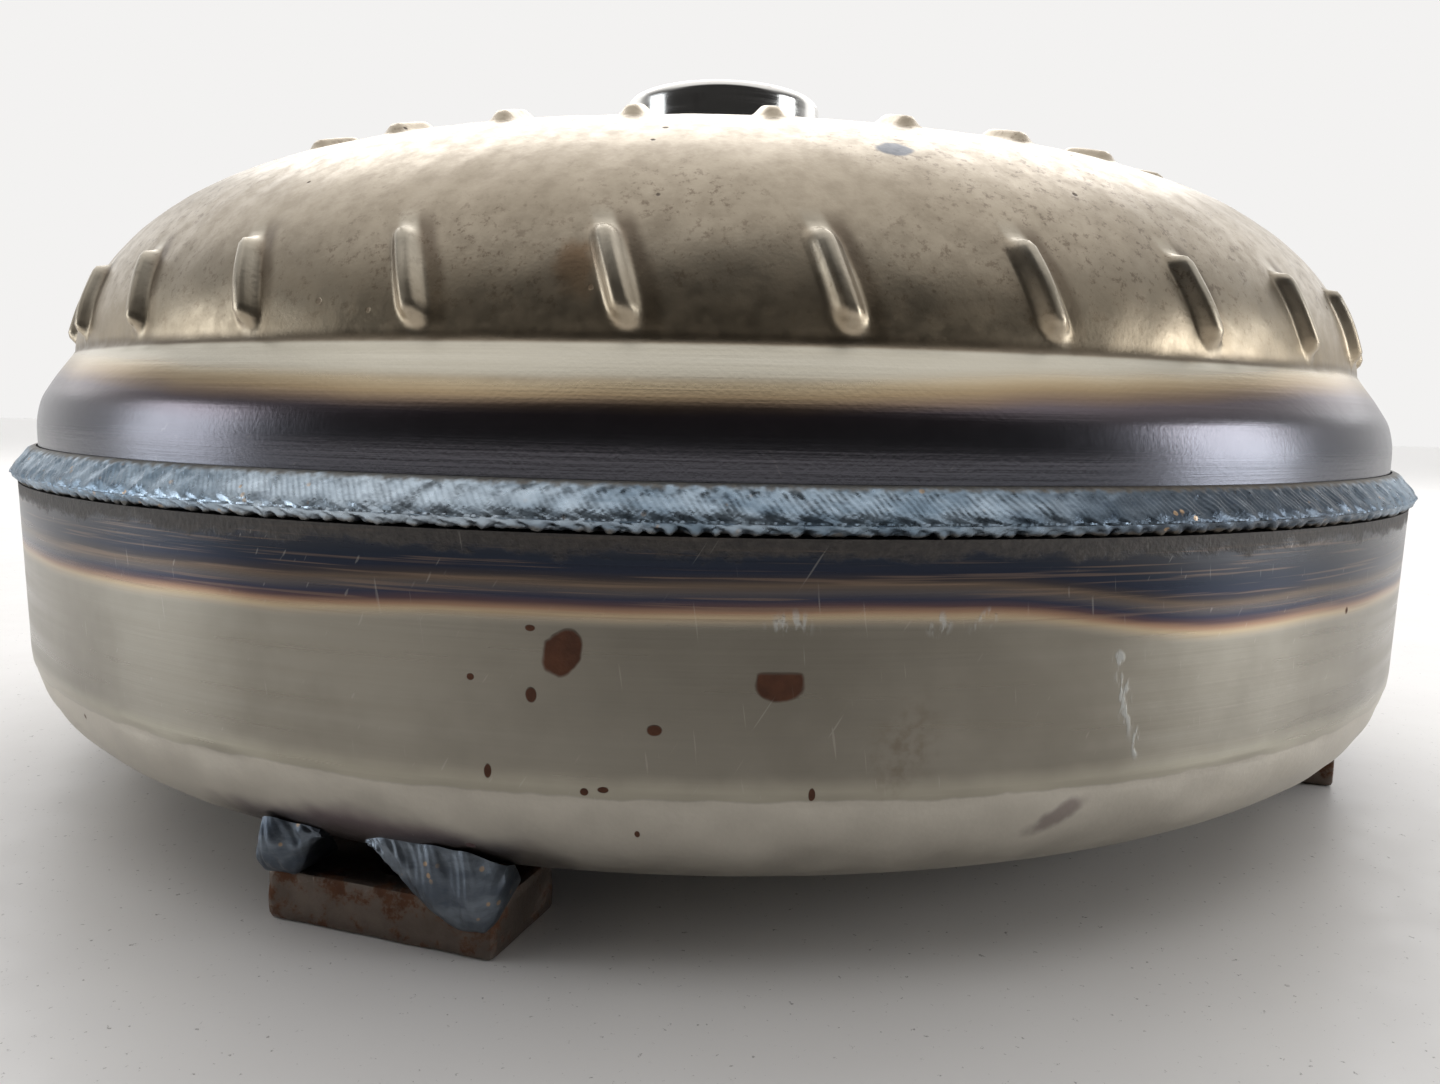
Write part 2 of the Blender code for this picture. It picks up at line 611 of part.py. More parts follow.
def make_clutch():
    cam_bore = ROLLER_PCR + ROLLER_R + GAP
    low, high = RACE_Z
    outer = turned("clutch_outer_race", washer(cam_bore - 1.2, 39.7, low, high), GROUND_STEEL, ROUND)
    pockets = bmesh.new()
    for azimuth in ring_of(ROLLER_COUNT, 20.0):
        add_cylinder(pockets, ROLLER_R + 1.0, 40.0, at_azimuth(azimuth, ROLLER_PCR, (low + high) / 2), 12)
    boolean(outer, from_bmesh("cam_pockets", pockets, helper=True))
    inner = turned(
        "clutch_inner_race", washer(15.0, ROLLER_PCR - ROLLER_R - GAP, low - 5.0, high + 5.0), GROUND_STEEL, ROUND
    )
    boolean(inner, spline_cutter("stator_spline", 19.0, 17.7, 18, (50.0, 110.0)))
    for number, azimuth in enumerate(ring_of(ROLLER_COUNT, 20.0), 1):
        shape = bmesh.new()
        add_cylinder(shape, ROLLER_R, high - low - 1.0, Matrix.Identity(4), 10)
        roller = from_bmesh(f"clutch_roller_{number}", shape, GROUND_STEEL)
        roller.matrix_world = at_azimuth(azimuth, ROLLER_PCR, (low + high) / 2)
    cap_inner = ROLLER_PCR - ROLLER_R + 0.4
    turned("clutch_cap_upper", washer(cap_inner, 42.0, STATOR_Z[1] + GAP, 93.3), CAST_ALUMINIUM, ROUND)
    turned("clutch_cap_lower", washer(cap_inner, 42.0, 64.7, STATOR_Z[0] - GAP), CAST_ALUMINIUM, ROUND)


def make_thrust_bearing(name, low):
    """A needle thrust bearing: a race, the caged needles and a race, stacked upwards from low."""
    inner, outer, race_t, cage_t = 28.2, 38.0, 1.5, 1.2
    turned(name + "_lower_race", washer(inner, outer, low, low + race_t), GROUND_STEEL, SMALL_ROUND)
    middle = low + race_t + GAP + 1.25
    cage_range = (middle - cage_t / 2, middle + cage_t / 2)
    cage = turned(name + "_needle_cage", washer(inner + 0.5, outer - 0.5, *cage_range), GROUND_STEEL, SMALL_ROUND)
    needles = bmesh.new()
    lie_down = Matrix.Rotation(math.radians(90.0), 4, "Y")
    for azimuth in ring_of(9):
        placed = at_azimuth(azimuth, (inner + outer) / 2, middle) @ lie_down
        add_cylinder(needles, 1.2, outer - inner - 3.0, placed, 5)
    boolean(cage, from_bmesh(name + "_needles", needles, helper=True), "UNION")
    high = middle + 1.25 + GAP
    turned(name + "_upper_race", washer(inner, outer, high, high + race_t), GROUND_STEEL, SMALL_ROUND)


def make_bearings():
    make_thrust_bearing("turbine_bearing", 58.3)
    make_thrust_bearing("impeller_bearing", 93.6)
    turned("cover_thrust_washer", washer(16.0, 27.5, 16.1, 18.4), SEAL, SMALL_ROUND)


def smooth_round_pieces():
    for obj in parts.objects:
        if obj.type == "MESH":
            obj.data.shade_smooth()
            obj.data.set_sharp_from_angle(angle=math.radians(35.0))


clear_scene()
parts = collection("torque_converter")
helpers = collection("cutters", hidden=True)

STEEL = material("stamped_steel_shell", (0.46, 0.43, 0.37), 0.38)
LUG_STEEL = material("dark_lug_steel", (0.16, 0.13, 0.11), 0.6)
WELD = material("weld_bead", (0.33, 0.38, 0.42), 0.42)
GROUND_STEEL = material("ground_steel", (0.55, 0.56, 0.57), 0.22)
STAMPED_STEEL = material("pressed_plate", (0.42, 0.42, 0.42), 0.4)
BLADE_STEEL = material("blade_steel", (0.5, 0.46, 0.38), 0.42)
RIVET_STEEL = material("rivet_steel", (0.4, 0.4, 0.4), 0.35)
SPRING_STEEL = material("spring_steel", (0.2, 0.21, 0.23), 0.3)
CAST_ALUMINIUM = material("cast_aluminium", (0.66, 0.66, 0.65), 0.5)
LINING = material("friction_lining", (0.16, 0.11, 0.08), 0.9, 0.0)
SEAL = material("seal_polymer", (0.1, 0.09, 0.08), 0.55, 0.0)

make_front_cover()
make_crank_pilot()
make_lugs()
make_girth_weld()
make_impeller_shell()
make_impeller_hub()
make_hub_weld()
make_blade_wheels()
make_turbine_shell()
make_turbine_hub()
make_driven_plate()
make_turbine_rivets()
make_damper_plates()
make_damper_springs()
make_piston()
make_stator()
make_clutch()
make_bearings()
smooth_round_pieces()
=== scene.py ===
"""The torque converter's looks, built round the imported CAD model.

Lengths are in millimetres and MM turns them into metres. Azimuths are degrees from -Y, the side that
faces the camera, towards +X. A section is a closed outline of (radius, height) that runs down its outer
side.
"""

import json
import math

import bmesh
import bpy
import numpy as np
from mathutils import Matrix, Vector


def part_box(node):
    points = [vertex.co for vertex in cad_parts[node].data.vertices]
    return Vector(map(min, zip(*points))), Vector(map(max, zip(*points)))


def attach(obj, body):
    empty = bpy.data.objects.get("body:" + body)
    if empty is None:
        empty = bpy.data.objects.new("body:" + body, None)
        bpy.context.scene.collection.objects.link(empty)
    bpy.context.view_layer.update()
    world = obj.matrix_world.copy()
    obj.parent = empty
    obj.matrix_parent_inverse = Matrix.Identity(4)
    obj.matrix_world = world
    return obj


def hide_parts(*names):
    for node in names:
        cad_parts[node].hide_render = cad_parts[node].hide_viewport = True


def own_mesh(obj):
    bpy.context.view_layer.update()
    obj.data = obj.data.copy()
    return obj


MM = 0.001

# The camera stands level with the weld, close to the part, and looks slightly down.
EYE = Vector((0.0, -276.5, 73.95)) * MM
PITCH, YAW, ROLL = (math.radians(a) for a in (6.83, 0.29, 1.17))
LENS, SENSOR = 26.73, 36.0

# Brightness of the room in front, behind and overhead
FRONT_GLOW, BACK_GLOW, CEILING_GLOW = 0.03, 1.0, 1.0

# Front cover: its wall, rounded corner, flat ring and raised centre
COVER_TOP_R, COVER_TOP_Z, COVER_BORE_R, COVER_BORE_FOOT_Z = 151.0, 59.4, 147.9, 46.0
COVER_FOOT_R, COVER_FLAT_R, COVER_FLAT_Z, CORNER_H, CORNER_POWER = 150.4, 118.3, 8.3, 22.7, 2.4
COVER_T, CENTRE_Z, CENTRE_EDGE_R, PILOT_STUB_R = 4.3, 11.3, 92.0, 14.3

# Impeller shell: its smooth band, dome, ribs and the smaller bumps
BAND_R, BAND_FOOT_Z = 147.6, 47.0
SPLIT_Z, CREST_R, CREST_H, DOME_R, INNER_SLOPE = 80.0, 83.0, 43.0, 141.0, 40.0
SHELL_T, SEAT_Z, DOME_FOOT_Z = 3.2, 104.5, 82.5
RIBS, RIB_W, RIB_RISE, RIB_LENGTH, RIB_FOOT_ANGLE, MM_PER_DEGREE = 31, 4.3, 1.9, 14.0, 6.5, 0.78
RIB_Z = (85.5, 97.5)
BUMP_R, BUMP_RISE, BUMP_FOOT_Z = 103.0, 1.5, 110.0

# Lugs. A bead has a name, its two ends from the lug's middle, and how far it hangs over the lug's face.
LUG_COUNT, LUG_AZIMUTH, LUG_W, LUG_H, LUG_MIDDLE_R, LUG_DEPTH = 4, -19.0, 37.0, 7.8, 133.35, 18.0
LUG_BEADS = (("left", -7.5, -19.2, 0.2), ("right", -0.4, 20.6, 3.4))

# Heights between which a weld's edges are dirty. The small beads have no such edge.
GIRTH_EDGES, NO_EDGES = (59.5, 65.7), (-50.0, 300.0)

# Studio lights: name, place and target in metres, size, power and colour
LIGHTS = (
    ("left_window", (-1.19, -0.15, 0.24), (0.0, 0.0, 0.08), (0.45, 0.5), 2.5, (0.90, 0.95, 1.0)),
    ("right_window", (1.17, -0.22, 0.26), (0.0, 0.0, 0.08), (0.45, 0.5), 3.9, (0.94, 0.97, 1.0)),
    ("back_light", (0.0, 1.0, 1.0), (0.0, 0.0, 0.08), (1.8, 0.8), 10.5, (1.0, 1.0, 1.0)),
    ("back_left_light", (-1.0, 0.7, 0.6), (-0.15, -0.1, 0.0), (0.6, 0.6), 0.7, (1.0, 1.0, 1.0)),
    ("back_right_light", (1.0, 0.7, 0.6), (0.15, -0.1, 0.0), (0.6, 0.6), 0.9, (1.0, 1.0, 1.0)),
)


def tone(r, g, b):
    """A display colour of 0 to 255 a channel, as linear RGBA."""
    linear = [(c / 255 / 12.92) if c < 11 else ((c / 255 + 0.055) / 1.055) ** 2.4 for c in (r, g, b)]
    return (*linear, 1.0)


# --- Mesh helpers --------------------------------------------------------------------------------------


def smooth(low, high, x):
    """0 below low, 1 above high, smooth between."""
    t = np.clip((x - low) / (high - low), 0.0, 1.0)
    return t * t * (3 - 2 * t)


def at_azimuth(azimuth, radius=0.0, z=0.0):
    """Matrix whose local X runs outwards, local Y tangentially and local Z up, at that azimuth and radius."""
    turn = Matrix.Rotation(math.radians(azimuth - 90.0), 4, "Z")
    return turn @ Matrix.Translation(Vector((radius, 0, z)) * MM)


def rounded(corners, step):
    """Points along a line with rounded corners, step apart. Each corner is (radius, height, rounding)."""
    line = [np.array(corners[0][:2], float)]
    for before, (r, z, size), after in zip(corners, corners[1:], corners[2:]):
        here, a, b = np.array([r, z]), np.array(before[:2]), np.array(after[:2])
        if size == 0:
            line.append(here)
            continue
        to_a, to_b = (a - here) / np.linalg.norm(a - here), (b - here) / np.linalg.norm(b - here)
        count = max(3, int(size / step))
        for k in range(count + 1):
            t = k / count
            line.append(here + to_a * size * (1 - t) ** 2 + to_b * size * t**2)
    line.append(np.array(corners[-1][:2], float))
    return respaced(line, step)


def respaced(line, step):
    """The same line with points about step apart."""
    line = np.array(line, float)
    gone = np.concatenate([[0], np.cumsum(np.linalg.norm(np.diff(line, axis=0), axis=1))])
    places = np.linspace(0, gone[-1], max(2, int(round(gone[-1] / step)) + 1))
    return np.stack([np.interp(places, gone, line[:, k]) for k in (0, 1)], axis=1)


def section_normals(section):
    along = np.roll(section, -1, axis=0) - np.roll(section, 1, axis=0)
    along /= np.linalg.norm(along, axis=1)[:, None] + 1e-12
    return np.stack([-along[:, 1], along[:, 0]], axis=1)


def waves(azimuth, height, seed, turns, rise, count=14):
    """Smooth bumps of about 1 in size that meet themselves round the axis.

    turns is the range of waves a turn, and rise the range of waves for each millimetre of height.
    """
    draw = np.random.default_rng(seed)
    total = 0.0
    for _ in range(count):
        k, m, phase = draw.integers(*turns), draw.uniform(-1, 1) * rise, draw.uniform(0, 2 * math.pi)
        total = total + np.sin(np.radians(azimuth) * k + 2 * math.pi * m * height + phase)
    return total / math.sqrt(count)


def turned(name, section, columns, body, lift=None, slant=None):
    """Turns a section into a mesh. columns is a number, or a list of azimuths.

    lift gives the outward displacement from (azimuth, radius, height, row), and slant the azimuth that each
    point of the section adds to its columns.
    """
    azimuths = np.arange(columns) * 360.0 / columns if np.isscalar(columns) else np.array(columns)
    rows, count = len(section), len(azimuths)
    radius, height = section[:, :1], section[:, 1:]
    turn = azimuths[None, :] + (slant(section)[:, None] if slant else np.zeros((rows, 1)))
    radius, height = np.broadcast_to(radius, turn.shape).copy(), np.broadcast_to(height, turn.shape).copy()
    if lift:
        away = section_normals(section)
        rise = lift(turn, radius, height, np.arange(rows)[:, None])
        radius, height = radius + away[:, :1] * rise, height + away[:, 1:] * rise
    angle = np.radians(turn)
    points = np.stack([radius * np.sin(angle), -radius * np.cos(angle), height], axis=2).reshape(-1, 3) * MM
    i, j = np.meshgrid(np.arange(rows), np.arange(count), indexing="ij")
    down, right = (i + 1) % rows, (j + 1) % count
    faces = np.stack([i * count + j, down * count + j, down * count + right, i * count + right], axis=2)
    mesh = bpy.data.meshes.new(name)
    mesh.from_pydata(points.tolist(), [], faces.reshape(-1, 4).tolist())
    return finished(name, mesh, body)


def finished(name, mesh, body, sharp=38.0):
    mesh.shade_smooth()
    mesh.set_sharp_from_angle(angle=math.radians(sharp))
    obj = bpy.data.objects.new(name, mesh)
    bpy.context.scene.collection.objects.link(obj)
    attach(obj, body)
    return obj


def stands_for(obj, node, material):
    obj.data.materials.append(material)
    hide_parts(node)
    return obj


# --- Material helpers ----------------------------------------------------------------------------------


class Finish:
    """Builds the nodes of one material. Its coordinates are millimetres in the part's frame."""

    def __init__(self, name, metallic=1.0, roughness=0.4):
        self.material = bpy.data.materials.new(name)
        self.material.use_nodes = True
        self.tree = self.material.node_tree
        self.shader = self.tree.nodes["Principled BSDF"]
        self.shader.inputs["Metallic"].default_value = metallic
        self.shader.inputs["Roughness"].default_value = roughness
        coordinates = self.node("ShaderNodeTexCoord")
        self.place = self.vector("MULTIPLY", coordinates.outputs["Object"], (1000.0,) * 3)
        split = self.node("ShaderNodeSeparateXYZ", [self.place])
        x, y, self.z = split.outputs
        flat = self.vector("MULTIPLY", self.place, (1.0, 1.0, 0.0))
        self.radius = self.node("ShaderNodeVectorMath", [flat], operation="LENGTH").outputs["Value"]
        turn = self.math("ARCTAN2", x, self.math("MULTIPLY", y, -1.0))
        self.azimuth = self.math("MULTIPLY", turn, 180 / math.pi)

    def node(self, kind, inputs=(), **settings):
        made = self.tree.nodes.new(kind)
        for name, value in settings.items():
            setattr(made, name, value)
        for socket, value in zip(made.inputs, inputs):
            self.feed(socket, value)
        return made

    def feed(self, socket, value):
        if isinstance(value, bpy.types.NodeSocket):
            self.tree.links.new(value, socket)
        elif value is not None:
            socket.default_value = value

    def vector(self, operation, a, b):
        return self.node("ShaderNodeVectorMath", [a, b], operation=operation).outputs[0]

    def math(self, operation, a, b=0.0, c=0.0, clamp=False):
        return self.node("ShaderNodeMath", [a, b, c], operation=operation, use_clamp=clamp).outputs[0]

    def add(self, a, b):
        return self.math("ADD", a, b)

    def times(self, a, b):
        return self.math("MULTIPLY", a, b)

    def most(self, *values):
        top = values[0]
        for value in values[1:]:
            top = self.math("MAXIMUM", top, value)
        return top

    def step(self, value, low, high, to=(0.0, 1.0)):
        """Goes smoothly from to[0] at low to to[1] at high."""
        return self.node(
            "ShaderNodeMapRange", [value, low, high, *to], interpolation_type="SMOOTHSTEP"
        ).outputs[0]

    def share(self, value, low, high):
        """Goes evenly from 0 at low to 1 at high."""
        return self.node("ShaderNodeMapRange", [value, low, high, 0.0, 1.0]).outputs[0]

    def blend(self, share, a, b):
        """The number a where share is 0 and b where it is 1."""
        return self.node("ShaderNodeMix", [share, None, a, b]).outputs[0]

    def noise(self, size, detail=3.0, stretch=(1.0, 1.0, 1.0), rough=0.5, shift=0.0):
        """Noise of about 0 to 1 whose grains are size mm across, drawn out by stretch."""
        scale = [1.0 / size / s for s in stretch]
        placed = self.vector("ADD", self.vector("MULTIPLY", self.place, scale), (shift, shift, shift))
        made = self.node("ShaderNodeTexNoise")
        self.feed(made.inputs["Vector"], placed)
        made.inputs["Scale"].default_value = 1.0
        made.inputs["Detail"].default_value = detail
        made.inputs["Roughness"].default_value = rough
        return made.outputs[0]

    def cells(self, size, stretch=(1.0, 1.0, 1.0), shift=0.0):
        """Distance to the nearest of scattered points that are size mm apart, in that size."""
        scale = [1.0 / size / s for s in stretch]
        placed = self.vector("ADD", self.vector("MULTIPLY", self.place, scale), (shift, shift, shift))
        made = self.node("ShaderNodeTexVoronoi")
        self.feed(made.inputs["Vector"], placed)
        made.inputs["Scale"].default_value = 1.0
        return made.outputs["Distance"]

    def mix(self, share, a, b):
        made = self.node("ShaderNodeMix", data_type="RGBA")
        self.feed(made.inputs["Factor"], share)
        self.feed(made.inputs["A"], a)
        self.feed(made.inputs["B"], b)
        return made.outputs["Result"]

    def tint(self, colour, where, strength, towards):
        """The colour, moved towards another by strength where the mark where is 1."""
        return self.mix(self.times(where, strength), colour, towards)

    def ramp(self, value, stops):
        """A colour that passes through stops, each (value, colour)."""
        made = self.node("ShaderNodeValToRGB", [value])
        points = made.color_ramp.elements
        while len(points) < len(stops):
            points.new(0.5)
        for point, (at, colour) in zip(points, stops):
            point.position = at
            point.color = colour
        return made.outputs[0]

    def spot(self, azimuth, z, wide, high, lean=0.0, soft=0.25, wobble=0.25, grain=3.0):
        """1 inside an oval mark at that azimuth and height, 0 outside. wide and high are its half sizes."""
        degree = self.times(self.radius, math.pi / 180)
        across = self.times(self.math("SUBTRACT", self.azimuth, azimuth), degree)
        up = self.math("SUBTRACT", self.z, z)
        c, s = math.cos(math.radians(lean)), math.sin(math.radians(lean))
        a = self.times(self.add(self.times(across, c), self.times(up, s)), 1.0 / wide)
        b = self.times(self.add(self.times(up, c), self.times(across, -s)), 1.0 / high)
        far = self.math("SQRT", self.add(self.times(a, a), self.times(b, b)))
        if wobble:
            wander = self.math("SUBTRACT", self.noise(grain, 2.0, shift=azimuth + z), 0.5)
            far = self.math("MULTIPLY_ADD", wander, wobble * 2, far)
        return self.step(far, 1.0 + soft / 2, 1.0 - soft / 2)

    def bump(self, height, strength=1.0):
        """Makes the surface rise by height, in mm."""
        made = self.node("ShaderNodeBump")
        made.inputs["Strength"].default_value = strength
        made.inputs["Distance"].default_value = MM
        self.feed(made.inputs["Height"], height)
        self.tree.links.new(made.outputs["Normal"], self.shader.inputs["Normal"])

    def set(self, name, value):
        self.feed(self.shader.inputs[name], value)


# --- Materials -----------------------------------------------------------------------------------------


def lathe_lines(finish, pitch=0.5):
    """Fine turned grooves round the axis."""
    return finish.noise(pitch, 2.0, stretch=(70.0, 70.0, 1.0), shift=5.0)


def scratches(finish, size, lean, shift):
    """Sparse thin scratches that lean out of the vertical."""
    leaning = finish.node("ShaderNodeVectorRotate", [finish.place], rotation_type="AXIS_ANGLE")
    leaning.inputs["Axis"].default_value = (0.0, 1.0, 0.0)
    leaning.inputs["Angle"].default_value = math.radians(lean)
    scaled = finish.vector("MULTIPLY", leaning.outputs[0], (1.0 / size, 1.0 / size, 0.05 / size))
    made = finish.node("ShaderNodeTexNoise")
    finish.feed(made.inputs["Vector"], finish.vector("ADD", scaled, (shift, 0.0, shift)))
    made.inputs["Scale"].default_value = 1.0
    made.inputs["Detail"].default_value = 1.0
    return finish.step(made.outputs[0], 0.74, 0.80)


def cover_rust(m):
    """Rust marks: two large ones on the front of the wall, small ones near them and a few elsewhere."""
    half_moon = m.times(m.spot(3.14, 41.9, 2.9, 2.5, soft=0.18), m.step(m.z, 43.3, 42.7))
    far = m.cells(17.0, shift=2.0)
    scattered = m.times(m.step(far, 0.05, 0.03), m.step(m.z, 50.0, 46.0))
    return m.most(
        half_moon, scattered, m.spot(-6.94, 44.8, 2.3, 3.0, lean=-28.0, soft=0.18),
        m.spot(-8.45, 47.75, 0.65, 0.4), m.spot(-8.43, 39.4, 0.7, 0.95), m.spot(-2.6, 35.6, 0.9, 0.7),
        m.spot(-10.6, 29.3, 0.5, 0.9), m.spot(-5.9, 27.4, 0.5, 0.5), m.spot(-5.0, 27.8, 0.7, 0.4),
        m.spot(-11.4, 41.2, 0.5, 0.45), m.spot(4.8, 27.7, 0.4, 0.8), m.spot(-3.45, 21.6, 0.35, 0.5),
    )


def cover_scuffs(m):
    marks = m.most(
        m.spot(3.5, 49.0, 2.4, 1.6, soft=0.9), m.spot(10.6, 49.0, 1.6, 1.3, lean=40.0, soft=0.9),
        m.spot(12.8, 49.3, 2.0, 1.0, lean=40.0, soft=0.9), m.spot(20.4, 43.6, 0.9, 1.1, soft=0.7),
        m.spot(20.9, 38.0, 1.1, 4.5, lean=14.0, soft=0.9), m.spot(21.9, 32.0, 0.6, 2.0, soft=0.7),
    )
    return m.times(marks, m.step(m.noise(0.9, 3.0, stretch=(1.0, 1.0, 3.0)), 0.46, 0.62))


def cover_heat(m, colour):
    """Heat tint under the girth weld. Returns the colour, and where there is tint and soot."""
    right_dip = m.times(m.step(m.azimuth, 12.0, 28.0, (0.0, 3.6)), m.step(m.azimuth, 90.0, 55.0))
    left_dip = m.times(m.step(m.azimuth, -8.0, -26.0, (0.0, 1.5)), m.step(m.azimuth, -90.0, -55.0))
    sway = m.add(right_dip, left_dip)
    wander = m.times(m.math("SUBTRACT", m.noise(50.0, 2.0, shift=9.0), 0.5), 1.6)
    lines = m.times(m.math("SUBTRACT", m.noise(1.1, 2.0, stretch=(30.0, 30.0, 1.0)), 0.5), 0.5)
    heat_z = m.add(m.add(m.z, sway), m.add(wander, lines))
    tint = m.ramp(
        m.share(heat_z, 48.0, 60.0),
        [
            (0.0, tone(172, 166, 154)), (0.14, tone(176, 158, 130)), (0.20, tone(146, 118, 98)),
            (0.26, tone(84, 68, 70)), (0.32, tone(56, 58, 72)), (0.40, tone(84, 80, 80)),
            (0.47, tone(96, 84, 74)), (0.53, tone(60, 56, 58)), (0.60, tone(44, 48, 60)),
            (0.72, tone(44, 49, 59)), (0.85, tone(54, 56, 62)), (1.0, tone(64, 65, 68)),
        ],
    )
    tinted = m.step(heat_z, 48.0, 50.2)
    colour = m.mix(tinted, colour, tint)
    fine = m.noise(0.45, 2.0, stretch=(60.0, 60.0, 1.0), shift=3.0)
    colour = m.mix(m.times(m.step(fine, 0.55, 0.68, (0.0, 0.35)), tinted), colour, tone(132, 112, 96))
    ragged = m.times(m.math("SUBTRACT", m.noise(4.5, 5.0, stretch=(1.6, 1.6, 1.0), rough=0.7), 0.5), 6.0)
    soot = m.step(m.add(m.z, ragged), 56.6, 58.2)
    crust = m.mix(m.noise(1.2, 4.0, rough=0.7), tone(40, 39, 40), tone(104, 98, 92))
    return m.mix(m.times(soot, 0.8), colour, crust), tinted, soot


def cover_material():
    m = Finish("cover_steel")
    streak = m.noise(2.2, 3.0, stretch=(30.0, 30.0, 1.0))
    cloud = m.noise(26.0, 4.0, rough=0.6)
    colour = m.mix(streak, tone(132, 127, 116), tone(157, 152, 141))
    colour = m.mix(m.step(cloud, 0.4, 0.7, (0.0, 0.45)), colour, tone(114, 109, 99))

    # Painted dark reflection: the middle of the wall, which faces the camera, is darkened
    painted_dark_reflection = m.spot(1.0, 46.0, 27.0, 19.0, soft=1.7, wobble=0.2, grain=14.0)
    colour = m.tint(colour, painted_dark_reflection, 0.55, tone(86, 82, 74))

    # The turned wall ends a little above the raw, greyer corner
    edge = m.add(m.z, m.times(m.math("SUBTRACT", m.noise(7.0, 4.0), 0.5), 1.6))
    raw = m.step(edge, 26.9, 26.3)
    strip = m.times(m.step(edge, 30.5, 27.2), m.math("SUBTRACT", 1.0, raw))
    blotch = m.noise(9.0, 5.0, rough=0.65, shift=3.0)
    colour = m.tint(colour, strip, 0.4, tone(204, 198, 180))
    colour = m.mix(raw, colour, m.mix(blotch, tone(172, 166, 155), tone(214, 208, 196)))
    colour, tinted, soot = cover_heat(m, colour)
    rust = cover_rust(m)
    colour = m.mix(rust, colour, m.mix(m.noise(2.4, 3.0), tone(62, 38, 26), tone(112, 70, 48)))

    # Brown smear, pale scuffs, a purple burn, and heat patches where the lugs are welded on
    smear = m.spot(9.2, 33.5, 3.2, 5.5, lean=-20.0, soft=1.4, wobble=0.7)
    smear = m.times(smear, m.step(m.noise(1.5, 4.0), 0.35, 0.7))
    colour = m.tint(colour, smear, 0.4, tone(96, 80, 62))
    scuffs = cover_scuffs(m)
    colour = m.tint(colour, scuffs, 0.5, tone(180, 184, 184))
    burn = m.spot(17.9, 22.7, 4.2, 1.4, lean=30.0, soft=0.9, wobble=0.6)
    colour = m.tint(colour, burn, 0.55, tone(88, 66, 72))
    for k in range(LUG_COUNT):
        azimuth = (LUG_AZIMUTH + 360.0 * k / LUG_COUNT + 180.0) % 360.0 - 180.0
        glow = m.spot(azimuth, 12.5, 27.0, 8.0, soft=0.6, wobble=0.35, grain=9.0)
        burnt = m.mix(m.step(m.z, 15.0, 21.0), tone(66, 52, 56), tone(112, 94, 102))
        colour = m.mix(m.times(glow, 0.85), colour, burnt)
    thin = m.most(scratches(m, 0.5, 8.0, 1.0), scratches(m, 0.6, -32.0, 6.0))
    colour = m.tint(colour, thin, 0.14, tone(206, 202, 194))
    m.set("Base Color", colour)

    rough = m.blend(raw, m.step(streak, 0.3, 0.7, (0.27, 0.36)), m.step(blotch, 0.3, 0.7, (0.38, 0.5)))
    rough = m.blend(m.times(tinted, 0.6), rough, 0.26)
    m.set("Roughness", m.blend(rust, m.blend(soot, rough, 0.6), 0.85))
    m.set("Metallic", m.step(m.most(rust, m.times(soot, 0.5)), 0.0, 1.0, (1.0, 0.2)))
    lines = m.times(lathe_lines(m), m.step(raw, 0.0, 1.0, (0.02, 0.0)))
    grit = m.times(m.times(m.noise(0.8, 4.0), raw), 0.04)
    crusty = m.times(m.times(m.noise(0.7, 3.0), m.most(rust, soot)), 0.12)
    m.bump(m.add(m.add(lines, grit), m.add(crusty, m.times(scuffs, 0.04))))
    return m.material


def rib_coordinate(m):
    """Distance across the nearest rib's middle line, in mm, on the dome. It follows the ribs' lean."""
    lean = m.step(m.z, RIB_Z[0], RIB_Z[1] + 8, (7.1, 4.5))
    sector = m.math("DIVIDE", m.math("SUBTRACT", m.azimuth, lean), 360.0 / RIBS)
    share = m.math("SUBTRACT", m.math("FRACT", m.add(sector, 60.5)), 0.5)
    return m.times(m.times(share, m.radius), 2 * math.pi / RIBS)


def impeller_heat(m, colour):
    """Heat tint above the girth weld. Its edge rises and falls round the shell."""
    swing = m.math("COSINE", m.times(m.add(m.azimuth, 8.0), 3 * math.pi / 180))
    edge = m.math("MULTIPLY_ADD", swing, -2.7, 76.8)
    wander = m.times(m.math("SUBTRACT", m.noise(30.0, 3.0, shift=21.0), 0.5), 2.0)
    above = m.add(m.math("SUBTRACT", m.z, edge), wander)
    tint = m.ramp(
        m.share(above, -10.0, 5.0),
        [
            (0.0, tone(94, 95, 102)), (0.40, tone(106, 104, 110)), (0.60, tone(108, 99, 104)),
            (0.68, tone(130, 112, 98)), (0.76, tone(160, 140, 112)), (0.86, tone(184, 168, 140)),
            (1.0, tone(168, 156, 138)),
        ],
    )
    tinted = m.step(above, 4.6, 2.0)
    return m.mix(tinted, colour, tint), tinted


